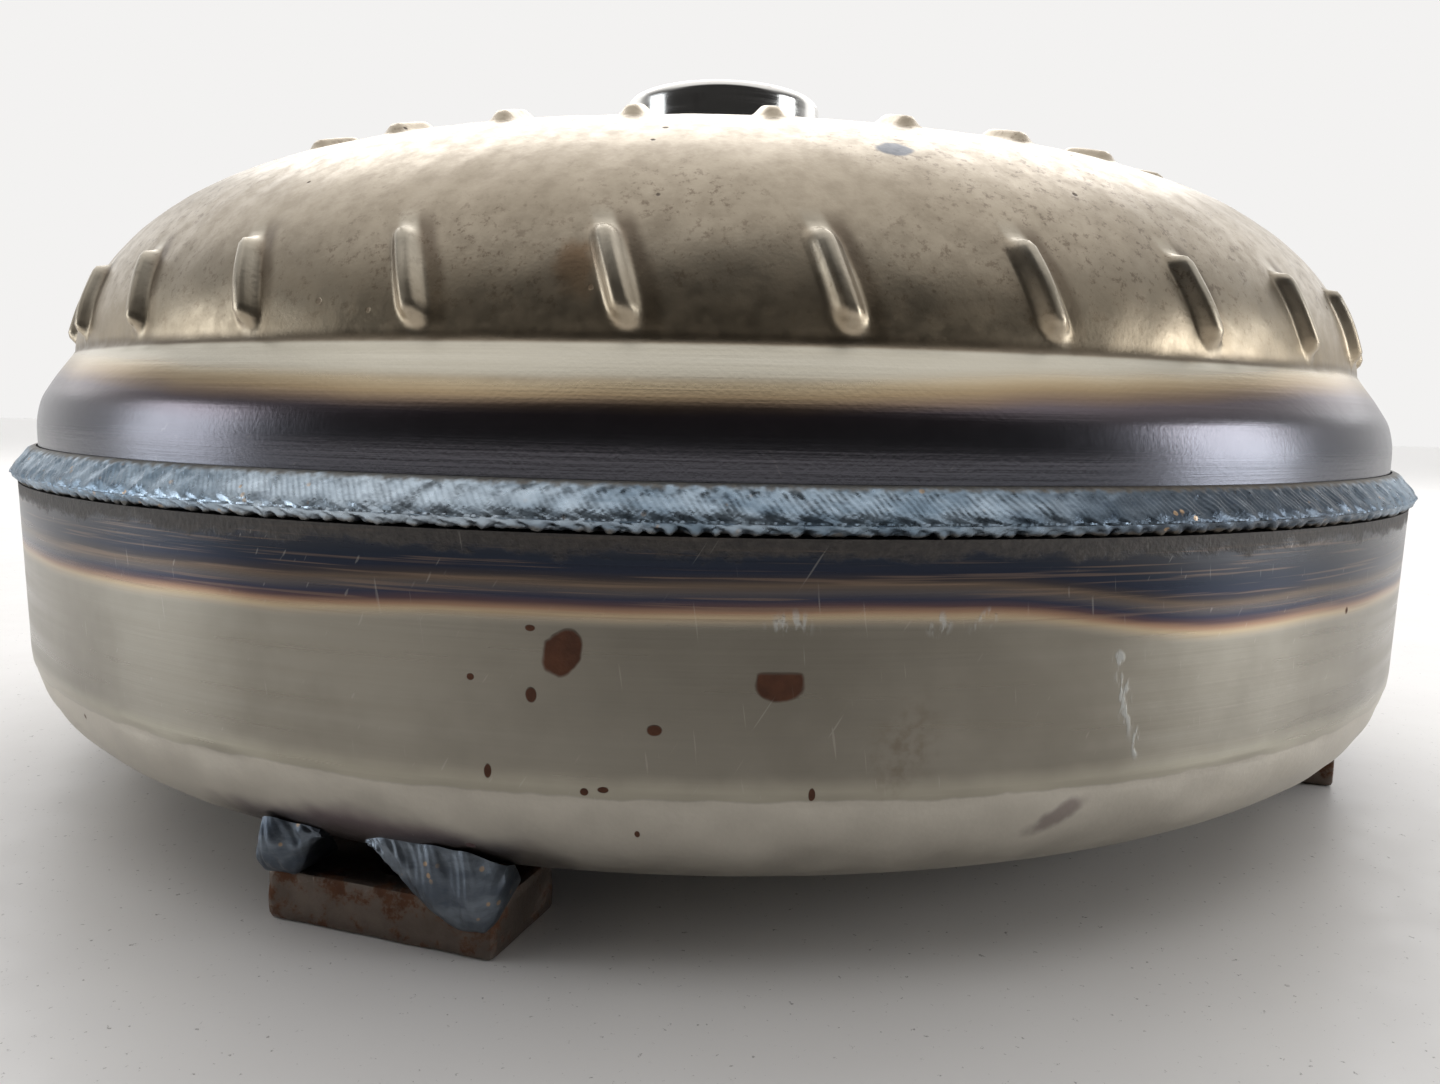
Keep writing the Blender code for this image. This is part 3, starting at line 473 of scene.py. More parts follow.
def impeller_material():
    m = Finish("impeller_steel")
    cloud = m.noise(24.0, 5.0, rough=0.62)
    grain = m.noise(3.0, 4.0, rough=0.65, shift=4.0)
    colour = m.mix(cloud, tone(146, 135, 118), tone(182, 171, 154))
    colour = m.mix(m.step(grain, 0.35, 0.75, (0.0, 0.3)), colour, tone(128, 115, 98))

    # Brown specks and pits, in patches
    patch = m.step(m.noise(34.0, 3.0, shift=12.0), 0.42, 0.62)
    named_patch = m.most(
        m.spot(-2.4, 102.9, 9.0, 5.0, soft=1.4, wobble=0.6), m.spot(-1.0, 93.0, 6.0, 4.0, soft=1.4)
    )
    speckle = m.step(m.noise(1.5, 4.0, rough=0.75, shift=7.0), 0.53, 0.66)
    speck = m.times(m.times(speckle, m.most(patch, named_patch)), m.step(m.z, 83.0, 87.0))
    colour = m.tint(colour, speck, 0.6, tone(96, 80, 66))
    far = m.cells(9.0, shift=8.0)
    pits = m.times(m.step(far, 0.06, 0.035), m.step(m.z, 83.0, 85.0))
    colour = m.tint(colour, pits, 0.7, tone(70, 52, 42))
    stain = m.spot(-7.6, 91.7, 2.4, 3.4, soft=1.2, wobble=0.7)
    colour = m.tint(colour, stain, 0.55, tone(138, 100, 62))
    nick = m.spot(11.4, 111.6, 2.6, 1.3, soft=0.5, wobble=0.6)
    colour = m.tint(colour, nick, 0.9, tone(48, 56, 70))

    # Painted shadow on the ribs' right sides, painted highlight on their tops, and the browner foot of the
    # dome
    across = rib_coordinate(m)
    on_height = m.times(m.step(m.z, RIB_Z[0] - 4.0, RIB_Z[0]), m.step(m.z, RIB_Z[1] + 4.0, RIB_Z[1]))
    # Painted shadow down the right side of each rib
    side = m.times(m.step(m.math("ABSOLUTE", m.math("SUBTRACT", across, 2.7)), 2.2, 0.4), on_height)
    colour = m.tint(colour, side, 0.6, tone(84, 70, 58))
    # Painted highlight along each rib's top
    top = m.times(m.step(m.math("ABSOLUTE", across), 2.0, 0.9), on_height)
    colour = m.tint(colour, top, 0.45, tone(206, 200, 186))
    low = m.times(m.step(m.z, 97.0, 84.0), m.step(m.z, 82.6, 83.6))
    brown = m.mix(m.noise(5.0, 4.0), tone(142, 126, 102), tone(182, 165, 138))
    colour = m.mix(m.times(low, 0.6), colour, brown)
    # Painted shade in the concave crease at the dome's foot
    painted_crease_shade = m.step(m.math("ABSOLUTE", m.math("SUBTRACT", m.z, 83.2)), 1.5, 0.2)
    colour = m.tint(colour, painted_crease_shade, 0.5, tone(84, 72, 58))

    # The shoulder is turned, and its paler colour is partly a painted highlight where it tilts up to the
    # light
    shoulder = m.times(m.step(m.z, 77.4, 78.6), m.step(m.z, 82.8, 82.2))
    lines = m.noise(1.4, 3.0, stretch=(40.0, 40.0, 1.0))
    turned_strip_and_highlight = m.mix(lines, tone(182, 176, 160), tone(214, 210, 197))
    colour = m.mix(m.times(shoulder, 0.8), colour, turned_strip_and_highlight)
    colour, tinted = impeller_heat(m, colour)
    thin = m.most(scratches(m, 0.45, 24.0, 3.0), scratches(m, 0.45, -40.0, 8.0))
    colour = m.tint(colour, thin, 0.08, tone(206, 200, 190))
    m.set("Base Color", colour)

    rough = m.blend(shoulder, m.step(grain, 0.3, 0.7, (0.32, 0.42)), 0.3)
    rough = m.blend(m.times(tinted, 0.8), rough, 0.22)
    m.set("Roughness", m.blend(pits, rough, 0.6))
    m.set("Metallic", m.step(pits, 0.0, 1.0, (1.0, 0.5)))
    height = m.add(m.times(m.noise(0.6, 4.0), 0.02), m.times(pits, -0.04))
    m.bump(m.add(height, m.times(m.times(lathe_lines(m), m.most(shoulder, tinted)), 0.02)))
    return m.material


def weld_material(name, low_z, high_z, dull=0.0):
    """A rippled bead: blue-grey scale with dark streaks, gold specks and a dirty edge."""
    m = Finish(name)
    flow = m.noise(3.2, 4.0, stretch=(2.5, 2.5, 1.0), rough=0.6)
    steel = m.mix(m.step(flow, 0.35, 0.68), tone(118, 136, 152), tone(166, 182, 196))
    grey = m.mix(m.step(flow, 0.35, 0.68), tone(64, 68, 78), tone(112, 118, 126))
    # Painted shade: the scale is darker round +30 degrees
    painted_shade_scale = m.mix(flow, tone(58, 66, 76), tone(96, 106, 116))
    steel = m.mix(m.spot(30.0, low_z, 35.0, 99.0, soft=1.2), steel, painted_shade_scale)
    # Painted highlight: the scale is paler round -17 degrees
    painted_highlight_scale = m.mix(flow, tone(150, 166, 180), tone(206, 218, 228))
    steel = m.mix(m.spot(-17.0, low_z, 24.0, 99.0, soft=1.2), steel, painted_highlight_scale)
    colour = m.mix(dull, steel, grey)
    dark = m.step(m.noise(1.6, 3.0, stretch=(2.2, 2.2, 1.0), shift=11.0), 0.56, 0.7)
    colour = m.tint(colour, dark, 0.35, tone(60, 72, 88))
    far = m.cells(2.3, shift=4.0)
    patch = m.step(m.noise(9.0, 3.0, shift=31.0), 0.5, 0.62)
    gold = m.times(m.step(far, 0.2, 0.12), patch)
    colour = m.tint(colour, gold, 0.7, tone(196, 164, 128))
    rim = m.add(m.z, m.times(m.math("SUBTRACT", m.noise(1.6, 4.0), 0.5), 1.6))
    edge = m.most(m.step(rim, low_z + 0.9, low_z + 0.1), m.step(rim, high_z - 0.9, high_z - 0.1))
    dirt = m.mix(m.noise(0.7, 3.0), tone(58, 52, 48), tone(156, 144, 126))
    colour = m.mix(m.times(edge, 0.75), colour, dirt)
    m.set("Base Color", colour)
    rough = m.step(m.noise(1.1, 3.0, shift=2.0), 0.3, 0.7, (0.26 + 0.14 * dull, 0.42 + 0.14 * dull))
    m.set("Roughness", m.blend(edge, rough, 0.65))
    m.bump(m.add(m.times(m.noise(0.45, 4.0), 0.05), m.times(edge, 0.04)))
    return m.material


def lug_material():
    m = Finish("lug_steel", metallic=0.85)
    blotch = m.noise(5.0, 5.0, rough=0.65)
    colour = m.mix(blotch, tone(80, 70, 63), tone(134, 120, 109))
    rust = m.step(m.noise(6.5, 5.0, rough=0.7, shift=15.0), 0.47, 0.6)
    rusty = m.mix(m.noise(1.6, 3.0), tone(92, 56, 36), tone(138, 90, 58))
    colour = m.mix(m.times(rust, 0.75), colour, rusty)
    wear = m.step(m.node("ShaderNodeNewGeometry").outputs["Pointiness"], 0.53, 0.6)
    colour = m.tint(colour, wear, 0.5, tone(150, 144, 136))
    m.set("Base Color", colour)
    m.set("Roughness", m.step(rust, 0.0, 1.0, (0.46, 0.82)))
    m.bump(m.add(m.times(m.noise(0.9, 5.0, rough=0.7), 0.12), m.times(rust, 0.05)))
    return m.material


def ground_material(name, colour_low, colour_high, roughness, stain=0.0):
    """Ground or turned steel with fine lines round the axis."""
    m = Finish(name)
    lines = m.noise(0.35, 2.0, stretch=(90.0, 90.0, 1.0), shift=1.0)
    colour = m.mix(lines, colour_low, colour_high)
    spots = m.step(m.noise(4.0, 5.0, rough=0.7, shift=17.0), 0.56, 0.7)
    colour = m.tint(colour, spots, stain, tone(104, 82, 64))
    m.set("Base Color", colour)
    m.set("Roughness", m.step(lines, 0.3, 0.7, (roughness * 0.8, roughness * 1.25)))
    m.bump(m.times(lines, 0.008))
    return m.material


def pressed_material(name, colour_low, colour_high, roughness, metallic=1.0, size=6.0):
    """Rolled, pressed, cast or moulded stock: soft clouds, a fine grain and a few light scratches."""
    m = Finish(name, metallic=metallic)
    cloud = m.noise(size, 5.0, rough=0.6)
    grain = m.noise(size / 10, 3.0, shift=3.0)
    colour = m.mix(cloud, colour_low, colour_high)
    colour = m.mix(m.times(scratches(m, size / 12, 35.0, 2.0), 0.3), colour, colour_high)
    m.set("Base Color", colour)
    m.set("Roughness", m.step(grain, 0.3, 0.7, (roughness * 0.85, roughness * 1.15)))
    m.bump(m.times(grain, 0.03))
    return m.material


# --- Pieces --------------------------------------------------------------------------------------------


def make_cover(material):
    """The pressed cover, with its turned wall standing a trace proud of the raw corner."""
    angles = np.linspace(0, math.pi / 2, 60)
    corner = np.stack(
        [
            COVER_FLAT_R + (COVER_FOOT_R - COVER_FLAT_R) * np.cos(angles) ** (2 / CORNER_POWER),
            COVER_FLAT_Z + CORNER_H * (1 - np.sin(angles) ** (2 / CORNER_POWER)),
        ],
        axis=1,
    )
    hole_r = PILOT_STUB_R + 0.3
    underside = rounded(
        [
            (COVER_FLAT_R, COVER_FLAT_Z, 0), (CENTRE_EDGE_R, COVER_FLAT_Z, 5.0), (78.0, CENTRE_Z, 5.0),
            (hole_r, CENTRE_Z, 0),
        ],
        1.5,
    )
    outer = np.concatenate([respaced([(COVER_TOP_R, COVER_TOP_Z), *corner], 0.8), underside[1:]])
    middle = rounded(
        [
            (hole_r, CENTRE_Z + COVER_T, 0), (78.5, CENTRE_Z + COVER_T, 3.0),
            (CENTRE_EDGE_R, COVER_FLAT_Z + COVER_T, 2.0), (COVER_FLAT_R, COVER_FLAT_Z + COVER_T, 0),
        ],
        3.0,
    )
    inner_corner = (corner - section_normals(corner) * COVER_T)[2:-2:4][::-1]
    bore = [(COVER_BORE_R, COVER_BORE_FOOT_Z), (COVER_BORE_R, COVER_TOP_Z)]
    inner = np.concatenate([middle[:-1], inner_corner, bore])

    def lift(azimuth, radius, height, row):
        outside = row < len(outer) - 2
        raw = smooth(27.2, 26.2, height) * smooth(12.0, 16.0, height)
        step_down = -0.18 * smooth(27.0, 26.4, height + 0.25 * waves(azimuth, height, 3, (20, 90), 0.05))
        dent = 0.12 * raw * waves(azimuth, height, 4, (6, 60), 0.12)
        return np.where(outside, step_down + dent, 0.0)

    section = np.concatenate([outer, inner])
    obj = turned("front_cover_skin", section, 720, "housing", lift)
    return stands_for(obj, "front_cover", material)


def dome_angle(section):
    """Angle round the dome's section, in degrees, from the split plane at the rim."""
    up, out = (section[:, 1] - SPLIT_Z) / CREST_H, (section[:, 0] - CREST_R) / (DOME_R - CREST_R)
    return np.degrees(np.arctan2(up, out))


def rib_slant(section):
    """How far the ribs' middle lines lean in azimuth at each point of the section."""
    angle = dome_angle(section)
    lean = np.interp(angle, [-60, 6, 24, 70, 110], [7.0, 7.0, 5.3, 4.0, 3.4])
    return np.where(section[:, 1] > 68.0, lean, 7.0)


def make_impeller_shell(material):
    """The pressed dome with its raised ribs and the smaller bumps of the blades' inner tabs."""

    def arc(wide, first, last, count):
        angles = np.radians(np.linspace(first, last, count))
        return [(CREST_R + wide * math.cos(a), SPLIT_Z + CREST_H * math.sin(a)) for a in angles]

    outer_arc = arc(DOME_R - CREST_R, 90, 4.2, 120)
    inner_arc = arc(INNER_SLOPE, 130, 91, 40)
    seat = rounded([(37.0, SEAT_Z, 0), (51.0, SEAT_Z, 5.0), (*inner_arc[0], 0)], 0.8)
    shoulder = rounded(
        [
            (*outer_arc[-1], 0), (141.2, 82.6, 0.6), (144.1, 78.6, 1.0), (146.7, 74.4, 1.4),
            (BAND_R, 70.5, 1.6), (BAND_R, BAND_FOOT_Z, 0),
        ],
        0.7,
    )
    outer = np.concatenate([seat[:-1], respaced(inner_arc + outer_arc, 0.9), shoulder[1:]])
    away = section_normals(outer)
    keep = np.arange(0, len(outer), 8)
    inner = (outer - away * SHELL_T)[keep][::-1]
    section = np.concatenate([outer, inner])
    pitch, fine_to = 360.0 / RIBS, 2.1
    fine = np.linspace(-fine_to, fine_to, 25)
    coarse = np.linspace(fine_to, pitch - fine_to, 12)[1:-1]
    columns = [pitch * k + offset for k in range(RIBS) for offset in (*fine, *coarse)]

    def lift(azimuth, radius, height, row):
        offset = azimuth - rib_slant(section)[:, None]
        across = ((offset / pitch + 0.5) % 1.0 - 0.5) * np.radians(pitch) * radius
        angle = dome_angle(section)[:, None]
        along = (angle - RIB_FOOT_ANGLE) * MM_PER_DEGREE
        beyond = np.maximum(np.abs(along - RIB_LENGTH / 2) - (RIB_LENGTH / 2 - RIB_W / 2), 0.0)
        side, top = RIB_W * 0.62, RIB_W * 0.12
        rib = smooth(side, top, np.hypot(across, beyond)) * RIB_RISE
        on_dome = (height > DOME_FOOT_Z) & (row < len(outer))
        reach = np.maximum(np.abs(radius - BUMP_R) - 3.0, 0.0)
        bump = smooth(side, top, np.hypot(across, reach)) * BUMP_RISE * (height > BUMP_FOOT_Z)
        rough = 0.05 * waves(azimuth, height, 8, (10, 120), 0.15)
        return np.where(on_dome, rib + bump + rough, 0.0)

    obj = turned("impeller_shell_skin", section, columns, "housing", lift, rib_slant)
    return stands_for(obj, "impeller_shell", material)


def make_girth_weld(material):
    """The bead that joins the two shells: chevron ripples and wavy edges."""
    low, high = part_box("girth_weld")
    inner, foot, head, outer_r = COVER_BORE_R, low.z / MM, high.z / MM, high.x / MM
    middle_r, fine_pitch, drop_pitch = 151.0, 0.957, 3.6
    face = rounded(
        [
            (inner, head, 0), (inner + 1.0, head - 0.1, 0.8), (outer_r - 0.6, foot + 2.3, 1.1),
            (outer_r - 0.3, foot + 1.0, 0.7), (outer_r - 1.6, foot - 0.2, 0.6), (inner, foot - 0.1, 0),
        ],
        0.24,
    )

    def lift(azimuth, radius, height, row):
        arc = np.radians(azimuth) * middle_r
        fall = height - ((foot + head) / 2 - 0.3)
        wander = 0.9 * waves(azimuth, height, 5, (4, 40), 0.0)
        chevron = arc + wander + np.abs(fall) * np.where(fall > 0, 0.8, 1.7)
        fine = 0.05 * np.sin(chevron * 2 * math.pi / fine_pitch)
        drop = arc + wander * 2 + 2.2 * fall
        drops = 0.09 * np.sin(drop * 2 * math.pi / drop_pitch) * smooth(0.6, -2.0, fall)
        lumps = 0.10 * waves(azimuth, height, 6, (60, 260), 0.25)
        fringe = 0.22 * waves(azimuth, height, 7, (200, 560), 0.5) * smooth(1.6, 3.0, np.abs(fall))
        show = smooth(inner + 0.8, inner + 2.4, radius)
        return (fine + drops + lumps + fringe - 0.1) * show

    obj = turned("girth_weld_bead", face, 3800, "housing", lift)
    return stands_for(obj, "girth_weld", material)


def make_hub(material):
    """The drive hub: a ground tube with two drive notches and a small lead-in."""
    low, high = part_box("impeller_hub")
    top, foot = high.z / MM, low.z / MM
    outer_r, bore_r, flange_r, flange_z = 23.8, 20.5, high.x / MM, 104.2
    notch_size = Vector((80.0, 10.0, 18.0)) * MM
    section = rounded(
        [
            (bore_r, top, 0), (bore_r + 0.9, top, 0.3), (outer_r - 1.2, top, 0.5), (outer_r, top - 1.4, 0.6),
            (outer_r, flange_z + 1.6, 1.0), (outer_r + 1.6, flange_z, 0.6), (flange_r, flange_z, 0.4),
            (flange_r, foot, 0.4), (bore_r, foot, 0.4), (bore_r, top - 0.9, 0.2),
        ],
        0.6,
    )
    hub = turned("drive_hub", section, 180, "housing")
    notch = bmesh.new()
    bmesh.ops.create_cube(notch, size=1.0)
    bmesh.ops.scale(notch, vec=notch_size, verts=notch.verts)
    bmesh.ops.bevel(notch, geom=notch.edges, offset=0.8 * MM, segments=3, affect="EDGES")
    mesh = bpy.data.meshes.new("notch")
    notch.to_mesh(mesh)
    notch.free()
    cutter = bpy.data.objects.new("notch", mesh)
    bpy.context.scene.collection.objects.link(cutter)
    cutter.location.z = top * MM
    carve(hub, cutter)
    return stands_for(hub, "impeller_hub", material)


def carve(obj, cutter):
    """Cuts cutter out of obj and removes it."""
    cut = obj.modifiers.new("cut", "BOOLEAN")
    cut.operation = "DIFFERENCE"
    cut.object = cutter
    bpy.context.view_layer.update()
    evaluated = obj.evaluated_get(bpy.context.evaluated_depsgraph_get())
    mesh = bpy.data.meshes.new_from_object(evaluated)
    obj.modifiers.clear()
    obj.data = mesh
    bpy.data.objects.remove(cutter)
    obj.data.shade_smooth()
    obj.data.set_sharp_from_angle(angle=math.radians(32.0))


def make_hub_weld(material):
    """The fillet round the hub's foot, laid in ripples."""
    low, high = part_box("hub_weld")
    inner, outer_r, foot = 34.4, high.x / MM, low.z / MM
    middle_r, ripple_pitch = 37.0, 1.453
    top = [(35.2, foot + 1.7, 0.9), (38.6, foot + 1.5, 1.2)]
    face = rounded([(inner, foot, 0), *top, (outer_r, foot, 0)], 0.3)

    def lift(azimuth, radius, height, row):
        arc = np.radians(azimuth) * middle_r
        ripple = 0.12 * np.sin((arc - 0.22 * (radius - middle_r) ** 2) * 2 * math.pi / ripple_pitch)
        lumps = 0.08 * waves(azimuth, height, 9, (10, 60), 0.1)
        return (ripple + lumps) * smooth(foot, foot + 1.0, height)

    obj = turned("hub_weld_bead", face, 640, "housing", lift)
    return stands_for(obj, "hub_weld", material)


def make_pilot(material):
    """The turned boss that centres the converter in the crankshaft, with a centre drilling."""
    low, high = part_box("crank_pilot")
    foot, head, outer_r = low.z / MM, high.z / MM, high.x / MM
    stub_r, collar_z = PILOT_STUB_R - 0.3, 11.0
    section = rounded(
        [
            (0.02, head, 0), (stub_r, head, 0.6), (stub_r, collar_z, 0), (outer_r, collar_z, 0.5),
            (outer_r, foot + 1.5, 0.4), (outer_r - 1.5, foot, 0.4), (6.0, foot, 0.3),
            (3.2, foot + 2.6, 0.3), (0.02, foot + 2.8, 0),
        ],
        0.5,
    )
    obj = turned("pilot_boss", section, 180, "housing")
    return stands_for(obj, "crank_pilot", material)


def subdivided_block(size, chamfer, cell):
    """A block with rounded edges whose faces are cut into cells, as a bmesh in millimetres."""
    shape = bmesh.new()
    counts = [max(2, int(s / cell)) for s in size]
    bmesh.ops.create_cube(shape, size=1.0)
    bmesh.ops.scale(shape, vec=size, verts=shape.verts)
    for axis, count in enumerate(counts):
        for k in range(1, count):
            normal = [0.0, 0.0, 0.0]
            normal[axis] = 1.0
            spot = [0.0, 0.0, 0.0]
            spot[axis] = -size[axis] / 2 + size[axis] * k / count
            bmesh.ops.bisect_plane(
                shape, geom=[*shape.verts, *shape.edges, *shape.faces], plane_co=spot, plane_no=normal
            )
    for vert in shape.verts:
        half = [s / 2 - chamfer for s in size]
        core = Vector([max(-h, min(h, c)) for c, h in zip(vert.co, half)])
        away = vert.co - core
        if away.length > 0:
            vert.co = core + away.normalized() * min(chamfer, away.length)
    return shape


def make_lugs(material, bead_material):
    """The lugs, each a rough block with a tapped hole, and their beads."""
    for number in range(1, LUG_COUNT + 1):
        azimuth = LUG_AZIMUTH + 360.0 * (number - 1) / LUG_COUNT
        shape = subdivided_block((LUG_DEPTH, LUG_W, LUG_H), 0.9, 0.8)
        draw = np.random.default_rng(40 + number)
        phases = draw.uniform(0, 6.28, (8, 4))
        for vert in shape.verts:
            x, y, z = vert.co
            rise = sum(math.sin(p[0] + x * p[1] * 0.12 + y * p[2] * 0.12 + z * p[3] * 0.15) for p in phases)
            vert.co += vert.normal * 0.035 * rise
        mesh = bpy.data.meshes.new(f"lug_{number}")
        shape.to_mesh(mesh)
        shape.free()
        mesh.transform(at_azimuth(azimuth, LUG_MIDDLE_R, LUG_H / 2) @ Matrix.Scale(MM, 4))
        lug = finished(f"lug_block_{number}", mesh, "housing")
        carve(lug, thread_cutter(azimuth))
        stands_for(lug, f"mounting_lug_{number}", material)
        for name, tip, end, drop in LUG_BEADS:
            bead = lug_bead(f"lug_bead_{number}_{name}", azimuth, tip, end, drop, 60 + number)
            stands_for(bead, f"lug_weld_{number}_{name}", bead_material)


def thread_cutter(azimuth):
    """The shape of an M10 thread's bore with a countersink at each end."""
    pitch, root_r, tip_r, mouth_r, sides = 1.5, 4.95, 4.25, 5.9, 48
    profile = [(mouth_r, LUG_H + 1.0), (tip_r, LUG_H - 0.9)]
    z = LUG_H - 1.4
    while z > 1.5:
        profile += [(root_r, z - pitch / 2), (tip_r, z - pitch)]
        z -= pitch
    profile += [(tip_r, 0.9), (mouth_r, -1.0)]
    shape = bmesh.new()
    angles = [2 * math.pi * k / sides for k in range(sides)]
    rings = [
        [shape.verts.new((r * math.cos(a), r * math.sin(a), height)) for a in angles] for r, height in profile
    ]
    for upper, lower in zip(rings, rings[1:]):
        for k in range(sides):
            after = (k + 1) % sides
            shape.faces.new((upper[k], lower[k], lower[after], upper[after]))
    shape.faces.new(rings[0])
    shape.faces.new(rings[-1][::-1])
    bmesh.ops.recalc_face_normals(shape, faces=shape.faces)
    mesh = bpy.data.meshes.new("thread")
    shape.to_mesh(mesh)
    shape.free()
    mesh.transform(at_azimuth(azimuth, LUG_MIDDLE_R, 0.0) @ Matrix.Scale(MM, 4))
    cutter = bpy.data.objects.new("thread", mesh)
    bpy.context.scene.collection.objects.link(cutter)
    return cutter


def corner_radius(height):
    """Radius of the cover's outer corner at a height."""
    up = np.clip(1 - (height - COVER_FLAT_Z) / CORNER_H, 0, 1)
    return COVER_FLAT_R + (COVER_FOOT_R - COVER_FLAT_R) * (1 - up**CORNER_POWER) ** (1 / CORNER_POWER)


def lug_bead(name, azimuth, tip, end, drop, seed):
    """A fillet laid in ripples, from the lug up to the cover's corner.

    It runs along the lug from tip, where it is thin and high on the cover, to end, both measured from the
    lug's middle. Near the end it hangs down over the lug's front face by drop.
    """
    ripple_pitch, root_r, root_z = 1.3, 142.0, 15.4
    rows, steps = 40, int(abs(end - tip) / 0.2)
    share = np.linspace(0, 1, steps + 1)[:, None]
    along = tip + (end - tip) * share
    draw = np.random.default_rng(seed)
    lumps = sum(np.sin(along * draw.uniform(0.4, 1.2) + draw.uniform(0, 6.28)) for _ in range(5)) / 2.2
    reach = smooth(0.0, 0.5, share + 0.02) * smooth(1.02, 0.86, share) ** 0.4
    hang = drop * smooth(0.3, 0.7, share) * smooth(1.02, 0.94, share)
    front_r = LUG_MIDDLE_R + LUG_DEPTH / 2 + 0.7
    top_z = 16.4 + 0.25 * lumps - 2.4 * smooth(0.75, 1.0, share) - 0.8 * smooth(0.25, 0.0, share)
    top_r = corner_radius(top_z) - 0.35
    foot_r = top_r - 0.8 + (front_r + 0.15 * lumps - top_r + 0.8) * reach
    foot_z = top_z - 1.4 + (LUG_H - hang + 0.2 * lumps - top_z + 1.4) * reach
    t = np.linspace(0, 1, rows)[None, :]
    swell = (0.5 + 1.3 * reach + 0.15 * lumps) * np.sin(math.pi * t**0.8)
    ripple = 0.07 * np.sin((along + 6.0 * (t - 0.45) ** 2 + 0.3 * lumps) * 2 * math.pi / ripple_pitch)
    rough = 0.0
    for _ in range(6):
        phase = along * draw.uniform(0.8, 3.0) + t * draw.uniform(2, 14) + draw.uniform(0, 6.28)
        rough = rough + np.sin(phase)
    out = swell + (ripple + rough * 0.06) * np.sin(math.pi * t) ** 0.5
    r = foot_r + (top_r - foot_r) * t + out
    z = foot_z + (top_z - foot_z) * t
    inner_r, inner_z = root_r - 8.0 * reach, root_z + (LUG_H - 0.1 - root_z) * reach
    r = np.concatenate([r, inner_r, foot_r - 1.4], axis=1)
    z = np.concatenate([z, inner_z, foot_z], axis=1)
    points = np.stack([r, np.broadcast_to(along, r.shape), z], axis=2).reshape(-1, 3)
    wide = rows + 2
    faces = [
        (i * wide + j, i * wide + (j + 1) % wide, (i + 1) * wide + (j + 1) % wide, (i + 1) * wide + j)
        for i in range(steps)
        for j in range(wide)
    ]
    faces += [list(range(wide))[::-1], list(range(steps * wide, (steps + 1) * wide))]
    if end < tip:
        faces = [face[::-1] for face in faces]
    mesh = bpy.data.meshes.new(name)
    mesh.from_pydata(points.tolist(), [], faces)
    mesh.transform(at_azimuth(azimuth) @ Matrix.Scale(MM, 4))
    return finished(name, mesh, "housing", 60.0)


def make_damper_springs(material):
    """Coils a little slimmer than the CAD's, each built about its middle."""
    turns, coil_steps, wire_steps, wire_r, coil_r, length = 8, 24, 10, 1.1, 4.1, 52.0
    count, middle_r, middle_z = 6, 104.7, 29.5
    turn = np.linspace(0, 2 * math.pi * turns, turns * coil_steps + 1)[:, None]
    around = np.arange(wire_steps)[None, :] * 2 * math.pi / wire_steps
    along = (turn / turn.max() - 0.5) * (length - 2 * wire_r)
    reach = coil_r + wire_r * np.cos(around)
    points = np.stack([reach * np.cos(turn), along + wire_r * np.sin(around), reach * np.sin(turn)], axis=2)
    faces = []
    for i in range(len(turn) - 1):
        here, ahead = i * wire_steps, (i + 1) * wire_steps
        for j in range(wire_steps):
            after = (j + 1) % wire_steps
            faces.append((here + j, ahead + j, ahead + after, here + after))
    last = (len(turn) - 1) * wire_steps
    faces += [list(range(wire_steps)), list(range(last, last + wire_steps))[::-1]]
    for number in range(1, count + 1):
        place = at_azimuth(30.0 + 60.0 * (number - 1), middle_r, middle_z)
        mesh = bpy.data.meshes.new(f"damper_coil_{number}")
        mesh.from_pydata(points.reshape(-1, 3).tolist(), [], faces)
        mesh.transform(place @ Matrix.Scale(MM, 4))
        coil = finished(f"damper_coil_{number}", mesh, "damper")
        stands_for(coil, f"damper_spring_{number}", material)
        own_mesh(coil)


def finish_inner_nodes(finishes):
    """The pieces inside keep their CAD shape and take a finish by their slot in the record."""
    for entry in frame["record"]["subparts"]:
        node = frame["nodes"][entry["node"]]
        if entry["material_slot"] in finishes:
            node.data.materials.clear()
            node.data.materials.append(finishes[entry["material_slot"]])


# --- Stage ---------------------------------------------------------------------------------------------


def make_floor():
    """A pale table top with small dark specks."""
    shape = bmesh.new()
    bmesh.ops.create_grid(shape, x_segments=1, y_segments=1, size=4.0)
    mesh = bpy.data.meshes.new("table_top")
    shape.to_mesh(mesh)
    shape.free()
    floor = bpy.data.objects.new("table_top", mesh)
    bpy.context.scene.collection.objects.link(floor)
    m = Finish("pale_table", metallic=0.0)
    speck = m.step(m.noise(1.3, 4.0, rough=0.7), 0.64, 0.70)
    colour = m.mix(m.noise(60.0, 3.0), tone(226, 223, 221), tone(238, 236, 234))
    # Painted sheen: the table top turns paler far from the part, so it meets the backdrop
    colour = m.mix(m.step(m.radius, 500.0, 2500.0), colour, tone(253, 252, 251))
    colour = m.tint(colour, speck, 0.7, tone(112, 105, 101))
    m.set("Base Color", colour)
    m.set("Roughness", m.step(m.noise(9.0, 3.0), 0.3, 0.7, (0.32, 0.45)))
    mesh.materials.append(m.material)


def area_light(name, place, target, size, power, colour):
    light = bpy.data.lights.new(name, "AREA")
    light.shape = "RECTANGLE"
    light.size, light.size_y = size
    light.energy = power
    light.color = colour
    obj = bpy.data.objects.new(name, light)
    bpy.context.scene.collection.objects.link(obj)
    obj.location = place
    obj.rotation_euler = (Vector(target) - Vector(place)).to_track_quat("-Z", "Y").to_euler()


